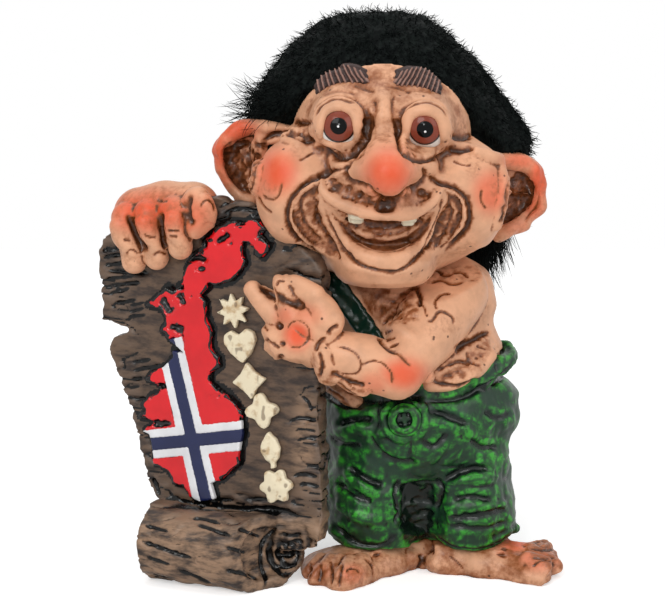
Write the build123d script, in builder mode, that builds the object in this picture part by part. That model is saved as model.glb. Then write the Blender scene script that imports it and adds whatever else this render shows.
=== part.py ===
from build123d import *
from collections import namedtuple
import math
import os

import numpy as np

# A standing cast troll figure: barefoot, in bib trousers with one brace, grinning, with a fur wig.
# One hand lies over the top of a leaning bark slab, the other points across its front.
# The slab curls forward into a roll at its foot and carries a raised map and six small ornaments.
# Millimetres, +Z up, the viewer looks along +Y. Left and right are the troll's own.

# Trousers and stance
hem_height = 6.8            # floor to the trouser hems
trousers_width = 49.0
trousers_depth = 38.0
trousers_height = 39.0      # hems to the middle of the waist
waist_side_slope = 10.6     # degrees, the waist climbs to the troll's left
waist_back_slope = 4.0      # degrees, and to the back
waistband_height = 4.0
waistband_wall = 3.0

# Feet
foot_width = 21.0
foot_length = 34.0
foot_forward = 9.8          # trousers' middle to the middle of each foot
heel_line = 3.0             # where the two heels meet, from the middle of the trousers
right_foot_out = -13.0      # middle of the trousers to the middle of each foot
right_foot_turn = -52.0     # degrees that the toes point out
left_foot_out = 18.5
left_foot_turn = 74.0

# Torso
torso_width = 44.0
torso_depth = 30.0
torso_height = 42.0         # waist to the top of the hump behind the neck
neck_slope = 18.0           # degrees, the neck seat faces forward and up

# Head
head_width = 59.0
head_depth = 57.0
head_height = 57.0
head_shift = 10.0           # head's middle plane to the troll's right of the trousers' middle
chin_rise = 24.2            # waist to chin
chin_clearance = 4.0        # chin to the neck seat
ear_radius = 10.2
ear_thickness = 5.0
ear_bowl_depth = 3.2
ear_rim = 2.2
ear_spread = head_width * 0.522         # head's middle plane to each ear's middle
ear_back_set = head_depth * 0.053       # head's middle to the ears' middle plane
left_ear_rise = head_height * 0.344     # chin to the middle of the troll's left ear
right_ear_rise = head_height * 0.474
eyeball_radius = 5.3
eye_spacing = head_width * 0.329
eye_rise = head_height * 0.6895         # chin to the eyes
eye_forward = head_depth * 0.36         # head's middle to the eyeballs' centres
iris_radius = 3.6
iris_thickness = 1.0
pupil_radius = 1.9
pupil_thickness = 0.5
brow_length = 15.0
brow_thickness = 3.4
brow_rise = head_height * 0.881         # chin to the brows
brow_forward = head_depth * 0.2895
tooth_width = 3.6
tooth_height = 4.2
tooth_thickness = 4.0
tooth_spacing = head_width * 0.207
tooth_rise = head_height * 0.337        # chin to the teeth
tooth_forward = head_depth * 0.3545
skull_radius = head_width * 0.322       # the bare skull under the wig
fur_thickness = 5.2
lock_radius = 6.0           # the hank of fur behind the left shoulder
lock_length = 20.0
hairline_forward = head_depth * 0.228   # head's middle to the hairline on the forehead
hairline_rise = head_height * 0.935     # chin to the hairline on the forehead
hairline_slope = 28.6       # degrees, the hairline runs down and back behind the ears

# Arms and hands
shoulder_radius = 8.6
elbow_radius = 6.3
wrist_radius = 5.0
palm_radius = 6.6
palm_thickness = 9.4
finger_radius = 2.4
thumb_radius = 2.7
fist_radius = 7.6
fist_finger_radius = 3.3

# Brace and button
brace_width = 4.6
brace_thickness = 1.4
brace_seat = 4.0            # how deep the band is let in before it is trimmed to the torso
tab_radius = 6.0
tab_out = 4.6               # trousers' middle to the button
tab_drop = 5.6              # waist to the button
tab_thickness = 3.6
button_radius = 4.0
button_thickness = 1.4
button_dish = 0.6

# Bark slab and its roll
slab_width = 61.0
slab_height = 82.0          # its foot to its top edge
slab_thickness = 5.0
slab_yaw = 24.0             # degrees, its left edge comes forward
slab_lean = 5.0             # degrees back
slab_tilt = 11.0            # degrees, its top leans to the troll's right
slab_out = 22.2             # trousers' side to the middle of the slab's foot
slab_forward = 16.4         # trousers' middle to the slab's face at its foot
roll_radius = 9.5
roll_length = 31.0
roll_flat = 0.6             # depth of the flat that the roll rests on
roll_bore_radius = 6.4
roll_bore_depth = 3.0
roll_end_slope = 26.0       # degrees, the cut of the roll's open end

# Raised map, cross and ornaments
relief_thickness = 1.6
cross_arm_width = 3.0
cross_border = 2.0
cross_slope = 5.5           # degrees, the upright of the cross against the slab's height
ornament_size = 8.4
star_spokes = 8
diamond_spokes = 4

fit_clearance = 0.3
overrun = 12.0              # how far a cutting shape runs past what it cuts
end_crowding_share = 0.65   # how much a soft form's levels crowd towards its two ends, 0 to 1

os.makedirs("parts", exist_ok=True)


# Soft forms are lumps of clay pressed together. Places and radii are shares of the form's own
# width, depth and height, measured from the middle of its foot; turn is in degrees about Y.
Lump = namedtuple("Lump", "at radii turn", defaults=(0.0,))
Form = namedtuple("Form", "lumps hollows blend levels low high low_middle high_middle",
                  defaults=((0.0, 0.0), (0.0, 0.0)))


def lump_distance(points, lump):
    """How far each point lies outside one lump, in shares."""
    offset = points - np.array(lump.at)
    turn = math.radians(lump.turn)
    across = offset[:, 0] * math.cos(turn) + offset[:, 2] * math.sin(turn)
    upward = offset[:, 2] * math.cos(turn) - offset[:, 0] * math.sin(turn)
    turned = np.column_stack((across, offset[:, 1], upward))
    radii = np.array(lump.radii)
    near = np.linalg.norm(turned / radii, axis=1)
    steep = np.linalg.norm(turned / radii**2, axis=1)
    return near * (near - 1) / np.maximum(steep, 1e-9)


def smooth_join(first, second, blend):
    """The nearer of two distances, with a soft valley between them."""
    valley = np.maximum(blend - np.abs(first - second), 0) / blend
    return np.minimum(first, second) - valley**2 * blend / 4


def clay_distance(points, form):
    distance = lump_distance(points, form.lumps[0])
    for lump in form.lumps[1:]:
        distance = smooth_join(distance, lump_distance(points, lump), form.blend)
    for hollow in form.hollows:
        distance = -smooth_join(-distance, lump_distance(points, hollow), form.blend / 2)
    return distance


def first_inside(starts, rays, form, reach=1.0, steps=240):
    """Shares along each ray, walked inward from its reach, where it first meets the clay."""
    reaches = np.linspace(reach, 0.01, steps)
    places = starts[:, None, :] + rays[:, None, :] * reaches[None, :, None]
    distance = clay_distance(places.reshape(-1, 3), form).reshape(len(rays), steps)
    inside = np.argmax(distance < 0, axis=1)
    inside[inside == 0] = steps - 1
    rows = np.arange(len(rays))
    before = distance[rows, inside - 1]
    after = distance[rows, inside]
    part_way = np.clip(before / (before - after + 1e-12), 0, 1)
    return reaches[inside - 1] + (reaches[inside] - reaches[inside - 1]) * part_way


def clay_ring(centre, form, count):
    """Shares of the level outline around one centre."""
    angles = np.arange(count) * 2 * math.pi / count
    rays = np.column_stack((np.cos(angles), np.sin(angles), np.zeros(count)))
    starts = np.tile(np.array(centre), (count, 1))
    return rays * first_inside(starts, rays, form)[:, None]


def clay_front(form, across_share, up_share):
    """The share of depth where the form's front face stands at one place."""
    start = np.array([[across_share, 0.0, up_share]])
    return -first_inside(start, np.array([[0.0, -1.0, 0.0]]), form)[0]


def mirrored(form):
    """The same form with its left and right exchanged."""
    def flip(lump):
        x, y, z = lump.at
        return Lump((-x, y, z), lump.radii, -lump.turn)
    lumps = [flip(lump) for lump in form.lumps]
    hollows = [flip(lump) for lump in form.hollows]
    return form._replace(lumps=lumps, hollows=hollows)


def add_clay(form, place, size, count):
    """Loft the form through level outlines; place is the plane of its foot."""
    width, depth, height = size
    sections = []
    for level in range(form.levels):
        even = level / (form.levels - 1)
        climb = even + (3 * even**2 - 2 * even**3 - even) * end_crowding_share
        share = form.low + (form.high - form.low) * climb
        middle = [low + (high - low) * climb
                  for low, high in zip(form.low_middle, form.high_middle)]
        ring = clay_ring((*middle, share), form, count)
        with BuildSketch(place.offset(share * height)) as section:
            with BuildLine():
                points = [((middle[0] + x) * width, (middle[1] + y) * depth)
                          for x, y, _ in ring]
                steps = [i / count for i in range(count + 1)]
                add(Edge.make_spline(points, periodic=True, parameters=steps))
            make_face()
        sections.append(section.sketch.face())
    loft(sections)


def add_swell(start, end, radii):
    """Add a round limb with soft ends, its radii spread evenly from start to end."""
    run = end - start
    along = run.normalized()
    level = Vector(0, 0, 1) if abs(along.Z) < 0.9 else Vector(1, 0, 0)
    outward = along.cross(level).normalized()
    profile = Plane(origin=start, x_dir=along, z_dir=along.cross(outward))
    steps = len(radii) - 1
    crest = [(run.length * i / steps, radius) for i, radius in enumerate(radii)]
    with BuildSketch(profile) as half:
        with BuildLine():
            CenterArc((0, 0), radii[0], 90, 90)
            Spline(*crest, tangents=[(1, 0), (1, 0)])
            CenterArc((run.length, 0), radii[-1], 0, 90)
            Line((run.length + radii[-1], 0), (-radii[0], 0))
        make_face()
    revolve(half.sketch.face(), axis=Axis(start, along))


def finish(part, node):
    """Name a finished piece and keep it for the export."""
    part.label = node
    pieces[node] = part


def largest(part):
    """The main solid of a cut piece, without the slivers that the cut leaves."""
    return max(part.solids(), key=lambda solid: solid.volume)


pieces = {}

# Places that several pieces share
waist_height = hem_height + trousers_height
side_rise = math.tan(math.radians(waist_side_slope))
back_rise = math.tan(math.radians(waist_back_slope))
waist = Plane(origin=(0, 0, waist_height), z_dir=(-side_rise, -back_rise, 1))
waist_top = waist.offset(waistband_height)
torso_base = Vector(0, 0, waist_height)
head_base = Vector(-head_shift, 0, waist_height + chin_rise)
neck_rise = math.tan(math.radians(neck_slope))
neck_seat = Plane(origin=head_base + Vector(0, 0, chin_clearance), z_dir=(0, -neck_rise, 1))

yaw = math.radians(slab_yaw)
lean = math.radians(slab_lean)
facing = Vector(-math.sin(yaw) * math.cos(lean), -math.cos(yaw) * math.cos(lean), math.sin(lean))
level_edge = Vector(math.cos(yaw), -math.sin(yaw), 0)
level_rise = facing.cross(level_edge)
tilt = math.radians(slab_tilt)
slab_edge = level_edge * math.cos(tilt) + level_rise * math.sin(tilt)
slab_foot = Vector(-trousers_width / 2 - slab_out, -slab_forward, roll_radius)
slab_face = Plane(slab_foot, x_dir=slab_edge, z_dir=facing)


def on_slab(across_share, up_share, proud=0.0):
    """A place on the slab's face, from shares of its width and height."""
    return slab_face.from_local_coords((across_share * slab_width, up_share * slab_height, proud))


# Trousers: seat and two legs in one casting, open at the hems and flat where the waistband sits
trousers_shares = Form(
    lumps=[
        Lump((-0.02, -0.01, 0.76), (0.48, 0.53, 0.45)),
        Lump((-0.215, -0.04, 0.26), (0.275, 0.45, 0.55)),
        Lump((0.235, -0.04, 0.26), (0.235, 0.43, 0.55)),
    ],
    hollows=[
        Lump((0.03, -0.54, 0.12), (0.04, 0.16, 0.34)),
        Lump((0.03, 0.50, 0.12), (0.04, 0.12, 0.34)),
    ],
    blend=0.06, levels=12, low=0.0, high=1.17)

with BuildPart() as trousers:
    add_clay(trousers_shares, Plane.XY.offset(hem_height),
             (trousers_width, trousers_depth, trousers_height), 44)
    split(bisect_by=waist, keep=Keep.BOTTOM)

# Waistband: a rolled ring that stands on the trousers' flat waist
with BuildPart() as waistband:
    with BuildSketch(waist):
        Ellipse(trousers_width * 0.46, trousers_depth * 0.46)
        Ellipse(trousers_width * 0.46 - waistband_wall, trousers_depth * 0.46 - waistband_wall,
                mode=Mode.SUBTRACT)
    extrude(amount=waistband_height)
    rim = waistband.edges().group_by(SortBy.LENGTH)[-1]
    fillet(rim, waistband_wall * 0.35)

# Torso: chest, belly and hump, seated in the waistband and cut flat under the neck
torso_shares = Form(
    lumps=[
        Lump((-0.045, 0.06, 0.43), (0.455, 0.46, 0.34)),
        Lump((-0.41, 0.07, 0.52), (0.2, 0.3, 0.19)),
        Lump((-0.03, -0.02, 0.1), (0.49, 0.56, 0.34)),
        Lump((-0.02, -0.36, 0.36), (0.17, 0.17, 0.145)),
        Lump((-0.11, 0.1, 0.81), (0.26, 0.34, 0.26)),
    ],
    hollows=[], blend=0.08, levels=13, low=-0.14, high=0.95)

with BuildPart() as torso:
    add_clay(torso_shares, Plane(torso_base), (torso_width, torso_depth, torso_height), 36)
    split(bisect_by=waist, keep=Keep.TOP)
    split(bisect_by=neck_seat, keep=Keep.BOTTOM)
    add(waistband.part, mode=Mode.SUBTRACT)

# Bark roll: a log-like curl at the slab's foot, flat where it rests, its open end cut at a slope
with BuildPart() as bark_roll:
    roll_axis_height = roll_radius - roll_flat
    roll_middle = slab_foot + facing * (roll_radius - slab_thickness)
    roll_axis = Plane(Vector(roll_middle.X, roll_middle.Y, roll_axis_height), x_dir=(0, 0, 1),
                      z_dir=level_edge)
    with BuildSketch(roll_axis.offset(-roll_length * 0.55)):
        Circle(roll_radius)
    extrude(amount=roll_length)
    end_slope = math.radians(roll_end_slope)
    open_end = Plane(roll_axis.offset(roll_length * 0.38).origin, x_dir=(0, 0, 1),
                     z_dir=level_edge * math.cos(end_slope) + facing * math.sin(end_slope))
    split(bisect_by=open_end, keep=Keep.BOTTOM)
    with BuildSketch(open_end):
        Circle(roll_bore_radius)
    extrude(amount=-roll_bore_depth, mode=Mode.SUBTRACT)
    split(bisect_by=Plane.XY, keep=Keep.TOP)

slab_outline_share = [
    (-0.24, 0.09), (-0.305, 0.17), (-0.32, 0.28), (-0.335, 0.375), (-0.37, 0.48), (-0.405, 0.59),
    (-0.375, 0.625), (-0.275, 0.64), (-0.425, 0.675), (-0.395, 0.735), (-0.395, 0.815),
    (-0.385, 0.88), (-0.35, 0.915), (-0.305, 0.94), (-0.24, 0.975), (-0.08, 0.99), (0.16, 0.99),
    (0.265, 0.965), (0.35, 0.93), (0.41, 0.88), (0.485, 0.825), (0.545, 0.77), (0.565, 0.735),
    (0.555, 0.66), (0.49, 0.48), (0.46, 0.295), (0.43, 0.095), (0.39, -0.03), (-0.20, -0.07),
]

with BuildPart() as bark_slab:
    with BuildSketch(slab_face):
        with BuildLine():
            Polyline(*[(x * slab_width, y * slab_height) for x, y in slab_outline_share],
                     close=True)
        make_face()
    extrude(amount=-slab_thickness)
    add(bark_roll.part, mode=Mode.SUBTRACT)

# Arms: the left crosses the belly to the slab's face, the right reaches behind to its top edge
belly_front = torso_depth * 0.6
left_shoulder = torso_base + Vector(torso_width * 0.157, -torso_depth * 0.17, torso_height * 0.51)
left_elbow = Vector(-torso_width * 0.148,
                    -belly_front - brace_thickness - fit_clearance - elbow_radius,
                    waist_height + elbow_radius * 1.085)
left_palm = on_slab(0.44, 0.565, palm_thickness / 2)
left_wrist = left_palm + (left_elbow - left_palm).normalized() * palm_radius
right_shoulder = torso_base + Vector(-torso_width * 0.43, torso_depth * 0.1, torso_height * 0.56)
right_wrist = on_slab(-0.035, 0.94, -slab_thickness - wrist_radius - fit_clearance)
right_elbow = ((right_shoulder + right_wrist) * 0.5
               + Vector(0, elbow_radius * 1.6, -elbow_radius * 1.6))


def add_limb(start, bend, end, radii, before):
    """Add one half of an arm, cut flat on the plane that halves the elbow."""
    if before:
        add_swell(start, bend, radii)
    else:
        add_swell(bend, end, radii)
    crease = Plane(bend, z_dir=(bend - start).normalized() + (end - bend).normalized())
    split(bisect_by=crease, keep=Keep.BOTTOM if before else Keep.TOP)


def wrist_plane(bend, end):
    return Plane(end, z_dir=end - bend)


upper_radii = (shoulder_radius, shoulder_radius * 0.95, elbow_radius * 0.98)
lower_radii = (elbow_radius, elbow_radius * 1.02, wrist_radius)

with BuildPart() as left_upper_arm:
    add_limb(left_shoulder, left_elbow, left_wrist, upper_radii, before=True)
    split(bisect_by=neck_seat, keep=Keep.BOTTOM)

with BuildPart() as arm_room:
    roomy_radii = [radius + fit_clearance for radius in upper_radii]
    add_limb(left_shoulder, left_elbow, left_wrist, roomy_radii, before=True)

with BuildPart() as left_forearm:
    add_limb(left_shoulder, left_elbow, left_wrist, lower_radii, before=False)
    split(bisect_by=wrist_plane(left_elbow, left_wrist), keep=Keep.BOTTOM)
    add(bark_slab.part, mode=Mode.SUBTRACT)

with BuildPart() as right_upper_arm:
    add_limb(right_shoulder, right_elbow, right_wrist, upper_radii, before=True)
    split(bisect_by=neck_seat, keep=Keep.BOTTOM)

with BuildPart() as right_forearm:
    add_limb(right_shoulder, right_elbow, right_wrist, lower_radii, before=False)
    split(bisect_by=wrist_plane(right_elbow, right_wrist), keep=Keep.BOTTOM)

with BuildPart(mode=Mode.PRIVATE) as torso_seats:
    add(torso.part)
    add(left_upper_arm.part, mode=Mode.SUBTRACT)
    add(right_upper_arm.part, mode=Mode.SUBTRACT)


# Hands: the left lies flat on the slab's face and points with its index finger and thumb
with BuildPart() as left_hand:
    index_root = on_slab(0.40, 0.59, finger_radius)
    index_tip = on_slab(0.285, 0.715, finger_radius)
    thumb_root = on_slab(0.46, 0.61, thumb_radius * 1.4)
    thumb_tip = on_slab(0.405, 0.745, thumb_radius)
    knuckles = on_slab(0.355, 0.55, palm_thickness * 0.4)
    add_swell(left_wrist, knuckles, (wrist_radius, palm_radius, palm_radius * 0.8))
    add_swell(index_root, index_tip, (finger_radius * 1.25, finger_radius, finger_radius * 0.9))
    add_swell(thumb_root, thumb_tip, (thumb_radius * 1.3, thumb_radius, thumb_radius * 0.85))
    split(bisect_by=slab_face, keep=Keep.TOP)
    split(bisect_by=wrist_plane(left_elbow, left_wrist), keep=Keep.TOP)

# The right hand grips over the slab's top edge, three fingers and the thumb down its face
grip_share = {"left": -0.19, "right": 0.04, "rise": 0.965}
finger_tips_share = [(-0.205, 0.835), (-0.105, 0.84), (0.005, 0.86)]
thumb_share = (0.105, 0.905)

with BuildPart() as right_hand:
    grip_axis_depth = -slab_thickness / 2
    grip_start = on_slab(grip_share["left"], grip_share["rise"], grip_axis_depth)
    grip_end = on_slab(grip_share["right"], grip_share["rise"], grip_axis_depth)
    add_swell(grip_start, grip_end, (fist_radius * 0.9, fist_radius, fist_radius * 0.85))
    for across_share, up_share in finger_tips_share:
        knuckle = on_slab(across_share, grip_share["rise"], fist_finger_radius)
        tip = on_slab(across_share, up_share, fist_finger_radius * 0.8)
        add_swell(knuckle, tip, (fist_finger_radius * 1.15, fist_finger_radius,
                                 fist_finger_radius * 0.9))
    across_share, up_share = thumb_share
    add_swell(on_slab(across_share, grip_share["rise"] + 0.02, thumb_radius),
              on_slab(across_share, up_share, thumb_radius),
              (thumb_radius * 1.3, thumb_radius * 1.3, thumb_radius * 1.2))
    add_swell(grip_end, right_wrist, (fist_radius * 0.8, wrist_radius))
    add(bark_slab.part, mode=Mode.SUBTRACT)
    split(bisect_by=wrist_plane(right_elbow, right_wrist), keep=Keep.TOP)

# Raised map: one coastline, cut into the red field and the two colours of the cross
coast_share = [
    (0.2, 0.91), (0.235, 0.915), (0.265, 0.905), (0.31, 0.915), (0.34, 0.905), (0.365, 0.88),
    (0.335, 0.87), (0.375, 0.835), (0.355, 0.815), (0.33, 0.8), (0.31, 0.815), (0.31, 0.835),
    (0.285, 0.85), (0.255, 0.85), (0.255, 0.785), (0.22, 0.76), (0.18, 0.745), (0.125, 0.74),
    (0.085, 0.75), (0.085, 0.735), (0.045, 0.715), (0.065, 0.69), (0.06, 0.64), (0.075, 0.61),
    (0.06, 0.56), (0.09, 0.53), (0.085, 0.505), (0.045, 0.49), (0.04, 0.46), (0.1, 0.425),
    (0.15, 0.37), (0.145, 0.305), (0.125, 0.27), (0.11, 0.22), (0.025, 0.18), (-0.025, 0.17),
    (-0.015, 0.125), (-0.08, 0.12), (-0.105, 0.13), (-0.145, 0.17), (-0.185, 0.18),
    (-0.195, 0.215), (-0.255, 0.24), (-0.255, 0.305), (-0.26, 0.33), (-0.285, 0.34),
    (-0.23, 0.365), (-0.3, 0.385), (-0.25, 0.4), (-0.28, 0.415), (-0.24, 0.44), (-0.18, 0.45),
    (-0.2, 0.475), (-0.24, 0.49), (-0.2, 0.515), (-0.155, 0.52), (-0.105, 0.545),
    (-0.105, 0.565), (-0.05, 0.55), (-0.08, 0.575), (-0.11, 0.595), (-0.125, 0.62),
    (-0.15, 0.625), (-0.11, 0.66), (-0.13, 0.69), (-0.195, 0.705), (-0.135, 0.73),
    (-0.095, 0.75), (-0.065, 0.735), (-0.015, 0.76), (0.0, 0.795), (0.035, 0.83),
    (0.095, 0.845), (0.09, 0.885), (0.14, 0.895),
]
cross_middle_share = (-0.075, 0.3)


def coast():
    """The map's whole outline, on the slab's own plane."""
    with BuildLine(mode=Mode.PRIVATE) as shore:
        Polyline(*[(x * slab_width, y * slab_height) for x, y in coast_share], close=True)
    return make_face(shore.edges(), mode=Mode.PRIVATE)


def cross(arm_width):
    """A leaning upright and a level arm that meet at the cross's middle."""
    middle = (cross_middle_share[0] * slab_width, cross_middle_share[1] * slab_height)
    with BuildSketch(mode=Mode.PRIVATE) as bars:
        with Locations(Location(middle, cross_slope)):
            Rectangle(arm_width, slab_height * 0.6)
        with Locations(Location(middle)):
            Rectangle(slab_width * 0.6, arm_width)
    return bars.sketch


with BuildPart() as map_cross_blue:
    with BuildSketch(slab_face):
        add(coast())
        add(cross(cross_arm_width), mode=Mode.INTERSECT)
    extrude(amount=relief_thickness)

with BuildPart() as map_cross_white:
    with BuildSketch(slab_face):
        add(coast())
        add(cross(cross_arm_width + 2 * cross_border), mode=Mode.INTERSECT)
        add(cross(cross_arm_width), mode=Mode.SUBTRACT)
    extrude(amount=relief_thickness)

with BuildPart() as map_field_red:
    with BuildSketch(slab_face):
        add(coast())
        add(cross(cross_arm_width + 2 * cross_border), mode=Mode.SUBTRACT)
    extrude(amount=relief_thickness)
    add(right_hand.part, mode=Mode.SUBTRACT)


# Six ornaments down the slab's face, each a closed outline in shares of the ornament's size
def star_share(points, inner):
    """A star of alternating long and short spokes."""
    spokes = []
    for step in range(2 * points):
        reach = 0.5 if step % 2 == 0 else inner
        turn = math.pi * step / points
        spokes.append((reach * math.sin(turn), reach * math.cos(turn)))
    return spokes


def petal_share(petals, depth):
    """A flower of round petals."""
    count = petals * 8
    edge = []
    for step in range(count):
        turn = 2 * math.pi * step / count
        reach = 0.5 - depth * (1 - math.cos(petals * turn)) / 2
        edge.append((reach * math.cos(turn), reach * math.sin(turn)))
    return edge


heart_share = [(0.0, -0.5), (0.3, -0.22), (0.48, 0.08), (0.44, 0.32), (0.24, 0.42), (0.0, 0.26),
               (-0.24, 0.42), (-0.44, 0.32), (-0.48, 0.08), (-0.3, -0.22)]
leaf_share = [(0.0, 0.5), (0.2, 0.28), (0.28, 0.02), (0.18, -0.24), (0.05, -0.36), (0.05, -0.5),
              (-0.05, -0.5), (-0.05, -0.36), (-0.18, -0.24), (-0.28, 0.02), (-0.2, 0.28)]
ornament_shares = {
    "bone_star": (star_share(star_spokes, 0.26), (0.18, 0.66)),
    "bone_heart": (heart_share, (0.19, 0.56)),
    "bone_diamond": (star_share(diamond_spokes, 0.30), (0.205, 0.455)),
    "bone_flower": (petal_share(4, 0.2), (0.24, 0.365)),
    "bone_leaf": (leaf_share, (0.255, 0.25)),
    "bone_blossom": (petal_share(6, 0.14), (0.255, 0.145)),
}
for node, (edge_share, place_share) in ornament_shares.items():
    with BuildPart() as ornament:
        seat = Plane(on_slab(*place_share), x_dir=slab_face.x_dir, z_dir=slab_face.z_dir)
        with BuildSketch(seat) as shape:
            with BuildLine():
                Polyline(*[(x * ornament_size, y * ornament_size) for x, y in edge_share],
                         close=True)
            make_face()
        extrude(amount=relief_thickness)
    finish(ornament.part, node)

# Bare feet: flat soles on the floor, flat tops under the hems, heels meeting on one line
foot_shares = Form(
    lumps=[
        Lump((0.0, 0.36, 0.35), (0.40, 0.22, 1.1)),
        Lump((0.0, 0.05, 0.25), (0.42, 0.34, 0.85)),
        Lump((0.02, -0.24, 0.15), (0.5, 0.22, 0.75)),
        Lump((-0.33, -0.37, 0.15), (0.17, 0.13, 0.62)),
        Lump((-0.05, -0.42, 0.15), (0.15, 0.13, 0.52)),
        Lump((0.18, -0.37, 0.15), (0.13, 0.12, 0.48)),
        Lump((0.36, -0.30, 0.15), (0.13, 0.11, 0.44)),
    ],
    hollows=[], blend=0.06, levels=6, low=0.0, high=1.0, high_middle=(0.0, 0.16))


for node, side, place, form in (
        ("right_foot", Keep.BOTTOM, (right_foot_out, right_foot_turn), mirrored(foot_shares)),
        ("left_foot", Keep.TOP, (left_foot_out, left_foot_turn), foot_shares)):
    with BuildPart() as foot:
        out, turn = place
        sole = Plane((out, -foot_forward, 0)).rotated((0, 0, turn))
        add_clay(form, sole, (foot_width, foot_length, hem_height), 36)
        split(bisect_by=Plane.YZ.offset(heel_line), keep=side)
    finish(foot.part, node)

# Head: skull, wide grinning jaw, cheeks, nose and lips in one casting
head_shares = Form(
    lumps=[
        Lump((0.0, 0.0, 0.63), (0.365, 0.37, 0.375)),
        Lump((0.0, -0.035, 0.30), (0.465, 0.35, 0.29)),
        Lump((-0.34, -0.21, 0.40), (0.16, 0.19, 0.23)),
        Lump((0.34, -0.21, 0.385), (0.16, 0.19, 0.23)),
        Lump((0.0, -0.35, 0.67), (0.07, 0.09, 0.16)),
        Lump((0.015, -0.51, 0.55), (0.12, 0.15, 0.11)),
        Lump((-0.135, -0.41, 0.53), (0.07, 0.08, 0.065)),
        Lump((0.15, -0.41, 0.545), (0.065, 0.08, 0.065)),
        Lump((0.01, -0.37, 0.395), (0.22, 0.115, 0.08)),
        Lump((-0.21, -0.315, 0.43), (0.10, 0.09, 0.07)),
        Lump((0.23, -0.315, 0.43), (0.10, 0.09, 0.07)),
        Lump((0.01, -0.36, 0.135), (0.17, 0.105, 0.06)),
        Lump((0.01, -0.27, 0.085), (0.19, 0.15, 0.09)),
        Lump((-0.17, -0.30, 0.695), (0.115, 0.10, 0.13)),
        Lump((0.158, -0.30, 0.685), (0.115, 0.10, 0.13)),
    ],
    hollows=[Lump((0.01, -0.42, 0.245), (0.20, 0.12, 0.07))],
    blend=0.07, levels=24, low=0.03, high=0.965, low_middle=(0.01, -0.20))
head_size = (head_width, head_depth, head_height)

eyes = {
    "right": head_base + Vector(-eye_spacing / 2, -eye_forward, eye_rise),
    "left": head_base + Vector(eye_spacing / 2, -eye_forward, eye_rise),
}
hairline = Plane(head_base + Vector(0, -hairline_forward, hairline_rise),
                 z_dir=(0, math.cos(math.radians(hairline_slope)),
                        math.sin(math.radians(hairline_slope))))
skull_centre = head_base + Vector(0, 0, head_height * 0.63)
brows = {
    "right": head_base + Vector(-eye_spacing / 2, -brow_forward, brow_rise),
    "left": head_base + Vector(eye_spacing / 2, -brow_forward, brow_rise),
}

# Eyes: a ball with a stepped seat in front for the iris, and the pupil seated in the iris
iris_back = math.sqrt(eyeball_radius**2 - iris_radius**2)
sights = {side: Plane(centre, x_dir=(1, 0, 0), z_dir=(0, -1, 0))
          for side, centre in eyes.items()}
for side, sight in sights.items():
    with BuildPart(sight) as eyeball:
        Sphere(eyeball_radius)
        with BuildSketch(sight.offset(iris_back - iris_thickness)):
            Circle(iris_radius)
        extrude(amount=overrun, mode=Mode.SUBTRACT)
    finish(eyeball.part, side + "_eyeball")
    with BuildPart() as iris:
        with BuildSketch(sight.offset(iris_back - iris_thickness)):
            Circle(iris_radius)
        extrude(amount=iris_thickness + pupil_thickness)
        with BuildSketch(sight.offset(iris_back)):
            Circle(pupil_radius)
        extrude(amount=overrun, mode=Mode.SUBTRACT)
    finish(iris.part, side + "_iris")
    with BuildPart() as pupil:
        with BuildSketch(sight.offset(iris_back)):
            Circle(pupil_radius)
        extrude(amount=pupil_thickness * 2)
    finish(pupil.part, side + "_pupil")


# Brows, teeth and ears keep their own solids; the head is cut to seat each of them
for side, centre in brows.items():
    with BuildPart() as brow:
        half = Vector(brow_length / 2 - brow_thickness / 2, 0, 0)
        add_swell(centre - half, centre + half,
                  (brow_thickness * 0.42, brow_thickness / 2, brow_thickness * 0.42))
    finish(brow.part, side + "_eyebrow")

with BuildPart() as teeth:
    with Locations(head_base + Vector(0, -tooth_forward, tooth_rise)):
        with GridLocations(tooth_spacing, 0, 2, 1):
            Box(tooth_width, tooth_thickness, tooth_height)
    fillet(teeth.edges().filter_by(Axis.Y), tooth_width * 0.2)
finish(teeth.part, "teeth")

with BuildPart() as skull:
    with Locations(skull_centre):
        Sphere(skull_radius)
    split(bisect_by=hairline, keep=Keep.TOP)

with BuildPart() as head:
    add_clay(head_shares, Plane(head_base), head_size, 44)
    split(bisect_by=neck_seat, keep=Keep.TOP)
    split(bisect_by=hairline, keep=Keep.BOTTOM)
    for sight in sights.values():
        with Locations(sight):
            Sphere(eyeball_radius, mode=Mode.SUBTRACT)
    for node in ("left_eyebrow", "right_eyebrow", "teeth"):
        add(pieces[node], mode=Mode.SUBTRACT)
    add([bark_slab.part, map_field_red.part], mode=Mode.SUBTRACT)
    add(skull.part)
finish(head.part, "head_casting")

# Ears: round bowls that face forward, trimmed where they meet the head
for side, out, rise in (("right", -ear_spread, right_ear_rise),
                        ("left", ear_spread, left_ear_rise)):
    ear_back = Plane(head_base + Vector(out, ear_back_set + ear_thickness / 2, rise), x_dir=(1, 0, 0),
                     z_dir=(0, -1, 0))
    with BuildPart() as ear:
        with BuildSketch(ear_back):
            Circle(ear_radius)
        extrude(amount=ear_thickness)
        fillet(ear.edges(), ear_thickness * 0.42)
        with BuildSketch(ear_back.offset(ear_thickness)):
            Circle(ear_radius - ear_rim)
        extrude(amount=-ear_bowl_depth, taper=30, mode=Mode.SUBTRACT)
        add(head.part, mode=Mode.SUBTRACT)
        if side == "right":
            add([right_hand.part, right_forearm.part], mode=Mode.SUBTRACT)
    finish(largest(ear.part), side + "_ear")

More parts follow.
